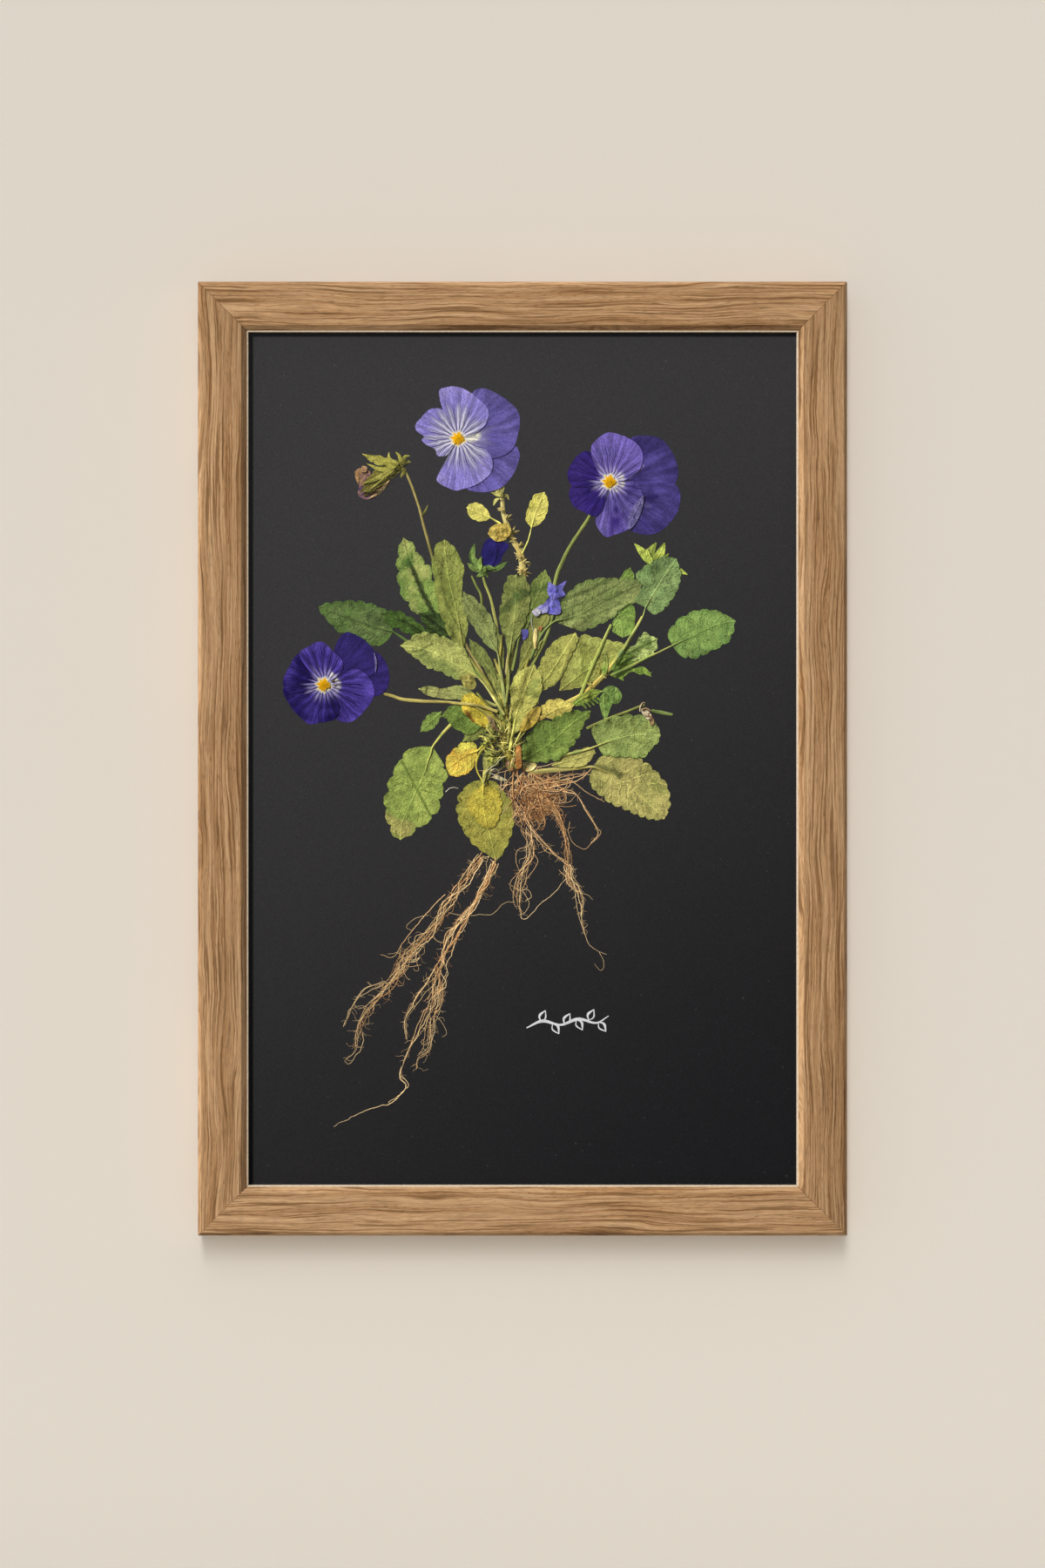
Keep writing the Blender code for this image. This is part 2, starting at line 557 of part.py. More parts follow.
def add_right_leaves():
    add_leaf(
        "leaf_right_dark", 3, LEAF_GREEN, (16, 68.5), (60, 88),
        [(17.5, 75), (22.5, 83), (28.5, 88), (37, 90.5), (48.5, 90.5), (55.5, 90.5)],
        [(22.5, 66), (30, 63.5), (37, 66), (45, 70), (51, 75.5), (57, 78.5)],
    )
    add_leaf(
        "leaf_right_yellow_green", 1, LEAF_LIGHT, (6, 33), (26.5, 63),
        [(6.5, 41.5), (11.5, 54), (18, 60.5)],
        [(13, 35), (18, 38.5), (23.5, 49), (28, 60)],
    )
    add_leaf(
        "leaf_right_brownish", 0, LEAF_OLIVE, (18.5, 34), (55, 53.5),
        [(20.5, 46), (29, 62), (36.5, 61), (43.5, 59.5), (51.5, 57.5)],
        [(29, 35.5), (39, 40), (48.5, 47)],
    )
    add_leaf(
        "leaf_centre_front", 4, LEAF_LIGHT, (-5, 12), (6, 47),
        [(-5, 20.5), (-6, 37.5), (-1, 44.5)], [(0, 15.5), (5, 24), (9.5, 33), (9.5, 41.5)],
    )
    add_leaf(
        "leaf_round_blue_green", 4, LEAF_GREEN, (61.5, 75.5), (77, 100),
        [(56, 79), (59.5, 86.5), (56, 91), (59, 95), (63.5, 98), (71, 101.5)],
        [(66, 72), (71.5, 75), (76, 81), (78.5, 86.5), (79.5, 93)], [(62, 74), (53, 59)],
    )
    add_leaf(
        "leaf_far_right", 3, LEAF_GREEN, (75, 56.5), (106.5, 69),
        [(72.5, 62), (76.5, 69), (85, 74), (91.5, 75), (99.5, 73.5)],
        [(77.5, 53), (81.5, 50), (87.5, 50), (94.5, 53.5), (102.5, 57.5), (105.5, 62.5)],
        [(64.5, 51.5), (55.5, 47)],
    )
    add_leaf(
        "leaf_low_dark", 5, LEAF_GREEN, (0, -0.5), (34, 24),
        [(0, 7), (3, 13.5), (8, 19), (13, 19.5), (19, 22.5), (25, 24.5)],
        [(8, -2), (16.5, -1.5), (21.5, 2), (28.5, 10.5), (31, 17), (33.5, 20)],
    )
    add_leaf(
        "leaf_low_spotted", 3, LEAF_LIGHT, (37.5, 6.5), (69, 11.5),
        [(34.5, 15), (40.5, 19.5), (51, 22.5), (59.5, 22), (64.5, 20.5), (68, 16.5)],
        [(40.5, 2), (51.5, 0.5), (61, 0.5), (64.5, 4.5), (68, 8)], [(21.5, 2)],
    )
    add_leaf(
        "leaf_low_right", 1, LEAF_OLIVE, (35.5, -4), (71, -30),
        [(39, 1), (47.5, 3), (60, 0), (66, -5), (71.5, -11), (74, -18), (74, -24.5)],
        [(33.5, -9), (34.5, -14.5), (39, -19), (43.5, -22.5), (51.5, -26), (61, -30), (67, -31)],
        [(23.5, -5), (3, -7)],
    )


def add_roots():
    add_rosette(
        "root_ball", 0, ROOT_BROWN,
        [(-10, -14), (-4.5, -8.5), (1.5, -6), (10.5, -8.5), (19.5, -9.5), (22.5, -15), (20.5, -21.5),
         (17, -26.5), (10.5, -32), (2, -36), (-3.5, -34), (-6.5, -25.5)],
    )
    add_strand(
        "root_left_outer", 0, ROOT_PALE,
        [(-23, -50), (-32, -64.5), (-42, -82), (-55, -96), (-66.5, -111), (-73, -119.5), (-80.5, -131),
         (-81, -141), (-84, -151)], [2.5, 4.5, 5.5, 6.0, 4.0, 1.0],
    )
    add_strand(
        "root_left_inner", 0, ROOT_PALE,
        [(-14, -52.5), (-19.5, -64.5), (-27, -77.5), (-35, -89), (-38.5, -99), (-42, -111),
         (-46.5, -122.5), (-50.5, -132.5), (-56.5, -144), (-60, -154), (-61, -160), (-58.5, -163.5),
         (-61, -168), (-65, -171.5), (-77, -175.5), (-94.5, -183.5)],
        [2.5, 4.5, 7.0, 6.0, 1.4, 1.0, 0.8],
    )
    add_strand(
        "root_centre", 0, ROOT_PALE,
        [(1, -38), (4, -44.5), (3.5, -50), (-1.5, -59), (-2.5, -70.5), (0, -79)], [2.5, 2.5, 3.0, 1.0],
    )
    add_strand(
        "root_right", 0, ROOT_PALE,
        [(20, -30.5), (22, -37), (23.5, -53), (27, -64.5), (31, -73), (29.5, -80.5), (31.5, -87.5),
         (34.5, -95), (39, -103.5)], [2.0, 3.0, 4.0, 1.5, 0.8],
    )


def add_plant():
    add_flowers()
    add_buds()
    add_stems()
    add_upper_leaves()
    add_left_leaves()
    add_right_leaves()
    add_roots()


def main():
    clear_scene()
    rails = add_rails()
    glass = finish("glass_pane", CLEAR_GLASS, 0.02, transmission=1.0)
    add_pane("glass_pane", GLASS_FRONT, GLASS_THICK, glass)
    add_spacers()
    add_pane("mount_card", CARD_FRONT, CARD_THICK, finish("mount_card", BLACK_CARD, 0.85))
    add_pane("backing_board", BACKING_FRONT, BACKING_THICK, finish("backing_board", KRAFT_BOARD, 0.85))
    add_flex_points(rails)
    add_hanger(rails)
    add_plant()


main()
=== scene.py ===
"""The looks of the pressed flower frame: an oak frame with one pressed pansy plant behind glass.

Metres, +Z up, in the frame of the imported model. The plant's points are in millimetres on the card:
how far right of its centre, and how far above it. Heights are millimetres off the card's face. The
plant is laid down piece by piece, as it was pressed: each piece sinks onto what already lies there.
"""

import json
import math

import bmesh
import bpy
import numpy as np
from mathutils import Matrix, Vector

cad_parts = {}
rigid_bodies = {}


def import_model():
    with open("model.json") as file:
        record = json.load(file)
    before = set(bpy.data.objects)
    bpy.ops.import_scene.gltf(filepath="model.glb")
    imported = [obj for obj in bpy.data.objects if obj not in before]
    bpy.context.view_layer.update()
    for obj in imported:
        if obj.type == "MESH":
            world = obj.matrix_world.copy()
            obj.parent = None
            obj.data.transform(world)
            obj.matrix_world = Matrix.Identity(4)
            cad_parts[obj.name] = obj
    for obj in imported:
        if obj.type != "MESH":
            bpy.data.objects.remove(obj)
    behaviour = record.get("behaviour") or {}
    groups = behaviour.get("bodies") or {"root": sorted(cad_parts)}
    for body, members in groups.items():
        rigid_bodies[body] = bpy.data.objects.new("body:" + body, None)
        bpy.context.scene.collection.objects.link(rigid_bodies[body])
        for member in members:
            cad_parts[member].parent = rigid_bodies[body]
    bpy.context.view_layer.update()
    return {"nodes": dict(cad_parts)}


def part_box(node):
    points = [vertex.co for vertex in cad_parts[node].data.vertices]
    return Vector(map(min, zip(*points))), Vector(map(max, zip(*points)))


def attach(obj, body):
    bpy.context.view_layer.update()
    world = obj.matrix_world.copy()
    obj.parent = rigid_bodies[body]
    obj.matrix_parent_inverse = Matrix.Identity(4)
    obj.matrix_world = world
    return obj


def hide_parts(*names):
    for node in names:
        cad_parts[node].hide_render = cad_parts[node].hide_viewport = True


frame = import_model()

MM = 0.001
CARD_LOW, CARD_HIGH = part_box("mount_card")
CARD_WIDTH = (CARD_HIGH.x - CARD_LOW.x) / MM
CARD_HEIGHT = (CARD_HIGH.z - CARD_LOW.z) / MM
CENTRE = (CARD_LOW + CARD_HIGH) / 2
BACK_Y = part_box("rail_top")[1].y
FRONT_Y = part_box("rail_top")[0].y

# The view: straight at the front, with a little more room above the frame than below it
VIEW_HEIGHT = 0.7794  # what the picture takes in, at the frame's front
VIEW_DISTANCE = 2.6
VIEW_BELOW_CENTRE = 0.0126
SENSOR = 36.0

# The rails' section, in millimetres
OUTER_CHAMFER = 1.6
INNER_CHAMFER = 2.6
LEDGE = 0.8  # the narrow flat step along the opening
RABBET_WIDTH = 5.0
RABBET_DEPTH = 16.0
JOINT_GAP = 0.02
RAIL_SHARP = math.radians(35)  # edges that turn by more are sharp
SOFTENED = 0.28  # the radius of the rails' long edges
DRAWN_IN = 0.16  # how far the rails' ends are eased
SLIP_EDGES = range(13, 20)  # the faces of a rail's section that make the pale edge around the opening

# The card's painted sheen, which stands in for the glass's reflection: the slope across and up it, and where
# the sheen starts and ends
PAINTED_SHEEN_ACROSS = -0.45
PAINTED_SHEEN_UP = 0.7
PAINTED_SHEEN_FROM = -370.0
PAINTED_SHEEN_TO = 5.0

WALL_GAP = 0.0035  # from the rails' backs to the wall
FLOOR_DROP = 0.35  # from the frame's bottom to the floor
STAGE_SIZE = 8.0

# The lamps
FULL_LIGHT = math.pi  # the strength of a lamp that shows a white face square to it as full white
FRONT_SHARE = 0.62  # the share of full light that the object's front and the card get
WINDOW_SHARES = ((4, 0.085), (13, 0.085), (22, 0.13), (31, 0.13), (43, 0.05))  # degrees up, and share
WINDOW_LEFT = 0.05  # how far to the left of straight ahead the window stands
WINDOW_SPREAD = 11  # degrees
LIT_APART = ("glass_pane", "mount_card")  # these get no light from the object's own lamps

# The studio around the scene: its light grows from low to high along a slant, and shows faintly in glass
STUDIO_SEEN = (222, 214, 201)  # what the view shows past the wall
STUDIO_SLANT = (-0.8, 0.0, 1.55)
STUDIO_SPAN = (-0.16, 0.17)  # where along the slant it is low and high
STUDIO_LIGHT = (0.02, 0.45)
STUDIO_DIMMED = 0.75  # what its mirror images lose

# The pressed plant
CURVE_STEPS = 13  # points on a smooth curve between two that are given
SHEET_SHARP = math.radians(70)
BLADE_THICK = 0.22
PETAL_THICK = 0.12
PETAL_START = 0.05  # the share of the way from the eye to the outline at which a petal starts
PETAL_FRILL = 0.14  # how far a petal's margin lifts
HAIR_RADIUS = 0.075
HAIR_BEND = 0.42  # how fast a rootlet turns
STRAND_LIFT = 0.2  # how far a single root rises off what it lies on
GROOVES = 0.1  # how deep a stalk's grooves are, as a share of its thickness
TOOTHED_FROM = 0.12  # the share of a blade's length that is free of teeth at its base
CLEARANCE = 0.04  # between a piece and what it lies on
VEINS_IN_A_TURN = 32
PLANT_GAIN = 1.16  # how much lighter the plant is than the colours given for it
FREE_HEIGHT = 2.4  # above this the glass presses the pile closer together
SPARE_HEIGHT = 3.2


# ---------------------------------------------------------------- materials


def tone(red, green, blue):
    """A colour given as a screen shows it, from 0 to 255, as the linear values that shaders take."""
    linear = []
    for value in (red, green, blue):
        share = value / 255
        linear.append(share / 12.92 if share < 0.04045 else ((share + 0.055) / 1.055) ** 2.4)
    return (*linear, 1.0)


class Finish:
    """A material's nodes, with short ways to add those that this script uses."""

    def __init__(self, name, roughness, metallic=0.0, colour=(0.5, 0.5, 0.5, 1.0), **sockets):
        self.material = bpy.data.materials.new(name)
        self.material.use_nodes = True
        self.tree = self.material.node_tree
        self.shader = self.tree.nodes["Principled BSDF"]
        self.shader.inputs["Roughness"].default_value = roughness
        self.shader.inputs["Metallic"].default_value = metallic
        self.shader.inputs["Base Color"].default_value = colour
        for socket, value in sockets.items():
            self.shader.inputs[socket.replace("_", " ")].default_value = value

    def node(self, kind, inputs, **settings):
        made = self.tree.nodes.new("ShaderNode" + kind)
        for key, value in settings.items():
            setattr(made, key, value)
        for key, value in inputs.items():
            if isinstance(value, bpy.types.NodeSocket):
                self.tree.links.new(value, made.inputs[key])
            else:
                made.inputs[key].default_value = value
        return made

    def maths(self, operation, a, b=0.0, c=0.0):
        return self.node("Math", {0: a, 1: b, 2: c}, operation=operation).outputs[0]

    def times(self, a, b):
        return self.maths("MULTIPLY", a, b)

    def less(self, a, b):
        return self.maths("SUBTRACT", a, b)

    def size_of(self, a):
        return self.maths("ABSOLUTE", a)

    def sum_of(self, a, factor, b):
        """a times the factor, plus b."""
        return self.maths("MULTIPLY_ADD", a, factor, b)

    def grooved(self, *layers):
        """Raises the surface by the sum of some layers, each with how many millimetres it is worth."""
        height = self.times(*layers[0])
        for layer, depth in layers[1:]:
            height = self.sum_of(layer, depth, height)
        self.bump(height)

    def scaled(self, vector, *factors):
        return self.node("VectorMath", {0: vector, 1: factors}, operation="MULTIPLY").outputs[0]

    def moved(self, vector, *offset):
        return self.node("VectorMath", {0: vector, 1: offset}, operation="ADD").outputs[0]

    def split(self, vector):
        return self.node("SeparateXYZ", {0: vector}).outputs

    def joined(self, x, y, z):
        return self.node("CombineXYZ", {0: x, 1: y, 2: z}).outputs[0]

    def place(self):
        """The point on the piece, in millimetres."""
        return self.scaled(self.node("TexCoord", {}).outputs["Object"], 1000, 1000, 1000)

    def noise(self, vector, scale=1.0, detail=2.0, roughness=0.5, distortion=0.0):
        inputs = {"Vector": vector, "Scale": scale, "Detail": detail, "Roughness": roughness}
        inputs["Distortion"] = distortion
        return self.node("TexNoise", inputs).outputs["Fac"]

    def fade(self, value, low, high, start=0.0, end=1.0):
        """A smooth change from start, at low, to end, at high."""
        inputs = {"Value": value, "From Min": low, "From Max": high, "To Min": start, "To Max": end}
        return self.node("MapRange", inputs, interpolation_type="SMOOTHSTEP").outputs["Result"]

    def mix(self, share, a, b, blend="MIX"):
        made = self.node("Mix", {0: share, 6: a, 7: b}, data_type="RGBA", blend_type=blend)
        return made.outputs[2]

    def dim(self, colour, factor):
        """The colour times a grey factor."""
        return self.mix(1.0, colour, factor, "MULTIPLY")

    def stored(self, name):
        return self.node("Attribute", {}, attribute_name=name).outputs

    def colour(self, socket):
        self.tree.links.new(socket, self.shader.inputs["Base Color"])

    def rough(self, socket):
        self.tree.links.new(socket, self.shader.inputs["Roughness"])

    def bump(self, height):
        """Raises the surface by a height in millimetres."""
        made = self.node("Bump", {"Height": height, "Distance": MM, "Strength": 1.0})
        self.tree.links.new(made.outputs["Normal"], self.shader.inputs["Normal"])


def oak_finish(name, run_axis, shift):
    """Oiled oak whose grain runs along one axis: wavy growth lines, fine fibres and short dark pores."""
    oak = Finish(name, roughness=0.55, Specular_IOR_Level=0.3)
    x, y, z = oak.split(oak.moved(oak.place(), *shift))
    run, across = (x, z) if run_axis == "X" else (z, x)
    slow = oak.noise(oak.joined(oak.times(run, 1 / 70), oak.times(across, 1 / 16), 3.3), detail=1)
    quick = oak.noise(oak.joined(oak.times(run, 1 / 16), oak.times(across, 1 / 5), 7.1), detail=2)
    across = oak.maths("ADD", across, oak.times(y, 0.45))
    across = oak.sum_of(slow, 9.0, across)
    across = oak.sum_of(quick, 1.3, across)

    def streaks(width, length, detail=2.0, seed=0.0):
        u = oak.times(across, 1 / width)
        v = oak.times(run, 1 / length)
        return oak.noise(oak.joined(u, v, seed), detail=detail)

    bands = streaks(3.4, 170, 2.0, 1.7)
    lines = streaks(0.85, 60, 2.5, 5.2)
    hair_lines = streaks(0.42, 24, 2.0, 7.7)
    fibres = streaks(0.24, 5, 2.0, 9.4)
    pores = streaks(0.36, 4.2, 1.0, 2.8)
    colour = oak.mix(oak.fade(bands, 0.3, 0.7), tone(160, 120, 80), tone(188, 149, 108))
    ring = oak.fade(lines, 0.385, 0.445, 1.0, 0.0)
    colour = oak.mix(oak.times(ring, 0.72), colour, tone(112, 76, 42))
    colour = oak.mix(oak.fade(lines, 0.54, 0.64, 0.0, 0.5), colour, tone(204, 168, 128))
    colour = oak.dim(colour, oak.fade(hair_lines, 0.36, 0.5, 0.8, 1.03))
    pore = oak.times(oak.fade(pores, 0.6, 0.7), oak.fade(bands, 0.35, 0.6, 1.0, 0.45))
    colour = oak.mix(oak.times(pore, 0.5), colour, tone(98, 66, 38))
    colour = oak.dim(colour, oak.fade(fibres, 0.3, 0.7, 0.84, 1.13))
    patch = oak.noise(oak.joined(oak.times(run, 1 / 90), oak.times(across, 1 / 30), 1.1))
    shade = 0.91 if run_axis == "Z" else 0.99
    colour = oak.dim(colour, oak.fade(patch, 0.25, 0.75, shade - 0.06, shade + 0.06))
    oak.colour(colour)
    oak.rough(oak.fade(fibres, 0.2, 0.8, 0.48, 0.66))
    oak.grooved((ring, -0.035), (pore, -0.06), (fibres, 0.05))
    return oak.material


def card_finish():
    """Black paper with a faint tooth and a few pale fibres, lighter towards its top left corner by a painted
    reflection of the glass.
    """
    card = Finish("black_paper", roughness=0.9, Specular_IOR_Level=0.06)
    place = card.place()
    x, _, z = card.split(place)
    tooth = card.noise(place, 2.2, detail=3)
    cloud = card.noise(place, 0.03, detail=2)
    # Painted reflection: the paper is lighter along this slant, towards the top left, as the glass's sheen
    # would make it
    slant = card.maths("ADD", card.times(x, PAINTED_SHEEN_ACROSS), card.times(z, PAINTED_SHEEN_UP))
    slant = card.sum_of(cloud, 14.0, slant)
    colour = card.mix(card.fade(slant, PAINTED_SHEEN_FROM, PAINTED_SHEEN_TO), tone(37, 36, 38), tone(67, 65, 66))
    colour = card.dim(colour, card.fade(tooth, 0.3, 0.7, 0.86, 1.16))
    speck = card.fade(card.noise(card.moved(place, 40, 9, 3), 0.55, detail=1), 0.755, 0.79)
    colour = card.mix(card.times(speck, 0.3), colour, tone(110, 108, 104))
    card.colour(colour)
    card.grooved((tooth, 0.05))
    return card.material


def board_finish():
    """Brown fibreboard with pressed wood fibres."""
    board = Finish("brown_fibreboard", roughness=0.85)
    place = board.place()
    fibres = board.noise(board.scaled(place, 0.5, 1, 1.6), 1.2, detail=4, distortion=1.4)
    cloud = board.noise(place, 0.04, detail=3)
    colour = board.mix(board.fade(fibres, 0.3, 0.7), tone(112, 78, 48), tone(160, 120, 82))
    colour = board.dim(colour, board.fade(cloud, 0.3, 0.7, 0.88, 1.1))
    board.colour(colour)
    board.grooved((fibres, 0.12))
    return board.material


def spacer_finish():
    """Black foam board with a fine grain."""
    spacer = Finish("black_foam_board", roughness=0.8)
    grain = spacer.noise(spacer.place(), 2.5, detail=3)
    spacer.colour(spacer.mix(grain, tone(20, 20, 21), tone(38, 38, 39)))
    spacer.grooved((grain, 0.05))
    return spacer.material


def metal_finish(name, bright, dull):
    """Stamped metal with fine rolling marks and a few dull patches."""
    metal = Finish(name, roughness=0.45, metallic=0.5)
    place = metal.place()
    marks = metal.noise(metal.scaled(place, 0.4, 1, 6), 2.0, detail=3)
    patch = metal.noise(place, 0.35, detail=3)
    metal.colour(metal.mix(metal.fade(patch, 0.4, 0.65), bright, dull))
    metal.rough(metal.fade(marks, 0.3, 0.7, 0.38, 0.56))
    metal.grooved((marks, 0.01))
    return metal.material


def glass_finish():
    """Plain clear glass."""
    glass = Finish("clear_glass", roughness=0.0, colour=(1.0, 1.0, 1.0, 1.0), IOR=1.5)
    glass.shader.inputs["Transmission Weight"].default_value = 1.0
    return glass.material


def leaf_finish():
    """A pressed blade. "vein" holds the side vein's number, how many there are in a millimetre and the
    distance from the midrib, and tint's alpha says how pale, over a half, or dark the veins are."""
    leaf = Finish("pressed_leaf", roughness=0.65, Specular_IOR_Level=0.14)
    tint = leaf.stored("tint")
    number, density, off_midrib = leaf.split(leaf.stored("vein")["Vector"])
    place = leaf.place()
    wander = leaf.sum_of(leaf.noise(place, 0.35, detail=1), 0.5, number)
    apart = leaf.size_of(leaf.less(leaf.maths("FRACT", wander), 0.5))
    side_vein = leaf.fade(leaf.maths("DIVIDE", apart, density), 0.08, 0.42, 1.0, 0.0)
    midrib = leaf.fade(off_midrib, 0.2, 0.7, 1.0, 0.0)
    vein = leaf.maths("MAXIMUM", leaf.times(midrib, 0.95), leaf.times(side_vein, 0.7))
    cells = leaf.node("TexVoronoi", {"Vector": place, "Scale": 0.8}, feature="DISTANCE_TO_EDGE")
    net = leaf.fade(cells.outputs["Distance"], 0.02, 0.14, 1.0, 0.0)
    grain = leaf.noise(place, 1.5, detail=4, roughness=0.65)
    patch = leaf.noise(leaf.moved(place, 5, 0, 11), 0.22, detail=3)
    colour = leaf.dim(tint["Color"], leaf.fade(grain, 0.32, 0.68, 0.87, 1.13))
    colour = leaf.dim(colour, leaf.fade(patch, 0.32, 0.68, 0.83, 1.16))
    push = leaf.times(vein, leaf.sum_of(tint["Alpha"], 2.0, -1.0))
    colour = leaf.dim(colour, leaf.sum_of(push, 1.3, 1.0))
    colour = leaf.dim(colour, leaf.sum_of(net, -0.12, 1.0))
    wrinkle_and_shade = leaf.size_of(leaf.less(leaf.noise(place, 0.17, detail=3, distortion=0.9), 0.5))
    wrinkle_and_shade = leaf.fade(wrinkle_and_shade, 0.004, 0.024, 1.0, 0.0)
    # Painted shade: the wrinkles are darkened in colour as well as grooved
    colour = leaf.dim(colour, leaf.sum_of(wrinkle_and_shade, -0.36, 1.0))
    leaf.colour(colour)
    leaf.rough(leaf.fade(grain, 0.3, 0.7, 0.5, 0.7))
    crumple = leaf.noise(leaf.moved(place, 3, 8, 2), 0.55, detail=2, distortion=0.6)
    leaf.grooved((vein, 0.16), (wrinkle_and_shade, -0.12), (crumple, 0.5), (net, -0.06), (grain, 0.2))
    return leaf.material


def stalk_finish():
    """A flattened stalk: "vein" holds the place across it, from -1 to 1, and along it in millimetres."""
    stalk = Finish("pressed_stalk", roughness=0.55, Specular_IOR_Level=0.25)
    tint = stalk.stored("tint")
    across, along, seed = stalk.split(stalk.stored("vein")["Vector"])
    lines = stalk.noise(
        stalk.joined(stalk.times(across, 2.6), stalk.times(along, 1 / 14), seed), detail=2
    )
    fine = stalk.noise(
        stalk.joined(stalk.times(across, 6), stalk.times(along, 1 / 5), seed), detail=2
    )
    grain = stalk.noise(stalk.place(), 1.6, detail=3)
    colour = stalk.dim(tint["Color"], stalk.fade(lines, 0.3, 0.7, 0.62, 1.2))
    colour = stalk.dim(colour, stalk.fade(fine, 0.3, 0.7, 0.85, 1.12))
    colour = stalk.dim(colour, stalk.fade(grain, 0.25, 0.75, 0.86, 1.12))
    stalk.colour(colour)
    stalk.grooved((lines, 0.22), (fine, 0.06))
    return stalk.material


# The eye's rings: how near and how far it is whole and gone, how strong it is, and its colour
EYE_RINGS = (
    (3.3, 4.8, 0.9, tone(252, 246, 222)),
    (2.7, 3.6, 1.0, tone(255, 208, 24)),
    (2.2, 3.3, 1.0, tone(255, 186, 0)),
)


def petal_finish(name, dark, pale, pale_reach, vein_reach, vein_strength):
    """A pressed petal. "ray" holds the direction from the eye, as its cosine and sine, and the distance
    from it in millimetres; "vein" holds the vein's number and how many veins there are in a millimetre."""
    petal = Finish(name, roughness=0.75, Specular_IOR_Level=0.06)
    tint = petal.stored("tint")
    cosine, sine, reach = petal.split(petal.stored("ray")["Vector"])
    number, density, _ = petal.split(petal.stored("vein")["Vector"])

    def fan(count, stretch, seed, detail):
        """Noise in rays from the eye: about so many to a turn, changing slowly outwards."""
        share = count / math.tau
        turn = petal.joined(petal.times(cosine, share), petal.times(sine, share),
                            petal.sum_of(reach, stretch, seed))
        return petal.noise(turn, detail=detail)

    def threads(times, width, start, end):
        """Thin dark veins, so many for each number, that fade away between two distances from the eye."""
        bent = petal.times(petal.sum_of(bend, 1.0, number), times)
        apart = petal.size_of(petal.less(petal.maths("FRACT", bent), 0.5))
        apart = petal.maths("DIVIDE", apart, petal.times(density, times))
        line = petal.fade(apart, width * 0.35, width, 1.0, 0.0)
        own_length = petal.noise(petal.joined(petal.maths("FLOOR", bent), times, 3.7), scale=0.7, detail=0)
        there = petal.sum_of(petal.less(own_length, 0.5), -9.0, reach)
        return petal.times(line, petal.fade(there, start, end, 1.0, 0.0))

    bend = petal.noise(petal.place(), 0.2, detail=2)
    rays = fan(46, 0.05, 9.0, detail=2)
    grain = petal.noise(petal.place(), 1.1, detail=4, roughness=0.6)
    main_veins = petal.times(
        threads(0.7, 0.44, vein_reach * 0.8, vein_reach * 1.2), petal.fade(reach, 3.0, 4.5),
    )
    forks = petal.times(
        threads(1.4, 0.28, vein_reach * 0.8, vein_reach * 1.5), petal.fade(reach, 5, 9, 0.0, 0.8),
    )
    fine = petal.times(threads(2.8, 0.26, 30.0, 60.0), petal.fade(reach, 7, 12, 0.0, 0.4))
    vein = petal.maths("MAXIMUM", petal.maths("MAXIMUM", main_veins, forks), fine)
    strength = petal.times(petal.sum_of(tint["Alpha"], 0.85, 0.15), vein_strength)
    colour = petal.dim(tint["Color"], petal.fade(grain, 0.3, 0.7, 0.78, 1.22))
    colour = petal.dim(colour, petal.fade(rays, 0.35, 0.65, 0.74, 1.24))
    streak = petal.fade(fan(26, 0.04, 2.0, detail=2), 0.36, 0.56, 0.55, 1.0)
    ragged = petal.sum_of(petal.less(rays, 0.5), 16.0, reach)
    bleached = petal.times(streak, petal.fade(ragged, pale_reach * 0.5, pale_reach, 0.95, 0.0))
    colour = petal.mix(petal.times(bleached, tint["Alpha"]), colour, pale)
    colour = petal.mix(petal.times(vein, strength), colour, dark)
    star = petal.sum_of(petal.less(fan(17, 0.1, 6.0, detail=3), 0.5), 6.0, reach)
    for near, far, share, shade in EYE_RINGS:
        colour = petal.mix(petal.fade(star, near, far, share, 0.0), colour, shade)
    petal.colour(colour)
    petal.grooved((rays, 0.22), (vein, -0.06), (grain, 0.1))
    return petal.material


def root_finish():
    """Dry matt root, paler and darker in specks."""
    root = Finish("dried_root", roughness=0.7, Specular_IOR_Level=0.2)
    tint = root.stored("tint")["Color"]
    grain = root.noise(root.place(), 1.4, detail=3)
    root.colour(root.dim(tint, root.fade(grain, 0.25, 0.75, 0.72, 1.25)))
    root.grooved((grain, 0.08))
    return root.material


def ink_finish():
    """White ink, a little thin in places."""
    ink = Finish("white_ink", roughness=0.5)
    grain = ink.noise(ink.place(), 1.8, detail=2)
    ink.colour(ink.mix(ink.fade(grain, 0.35, 0.6), tone(240, 240, 243), tone(254, 254, 254)))
    return ink.material


def wall_finish():
    """Plain paint that lets the eye through from behind, so that the frame's back can be seen."""
    wall = Finish("plain_wall", roughness=0.95, colour=tone(222, 215, 204))
    behind = wall.node("NewGeometry", {}).outputs["Backfacing"]
    clear = wall.node("BsdfTransparent", {}).outputs[0]
    both = wall.node("MixShader", {0: behind, 1: wall.shader.outputs[0], 2: clear}).outputs[0]
    wall.tree.links.new(both, wall.tree.nodes["Material Output"].inputs["Surface"])
    return wall.material


def slip_finish():
    """The pale painted edge around the opening."""
    slip = Finish("pale_sight_edge", roughness=0.6, Specular_IOR_Level=0.3)
    grain = slip.noise(slip.place(), 0.9, detail=3)
    slip.colour(slip.mix(slip.fade(grain, 0.3, 0.7), tone(196, 176, 152), tone(216, 198, 174)))
    return slip.material


def floor_finish():
    """Plain pale floor, far below the frame."""
    return Finish("plain_floor", roughness=0.8, colour=tone(214, 208, 198)).material


# ---------------------------------------------------------------- curves and smooth chance


def evenly(curve, count):
    """The curve as so many points, evenly spaced along it."""
    steps = np.linalg.norm(np.diff(curve, axis=0), axis=1)
    run = np.concatenate([[0.0], np.cumsum(steps)])
    at = np.linspace(0.0, run[-1], count)
    return np.column_stack([np.interp(at, run, column) for column in curve.T])


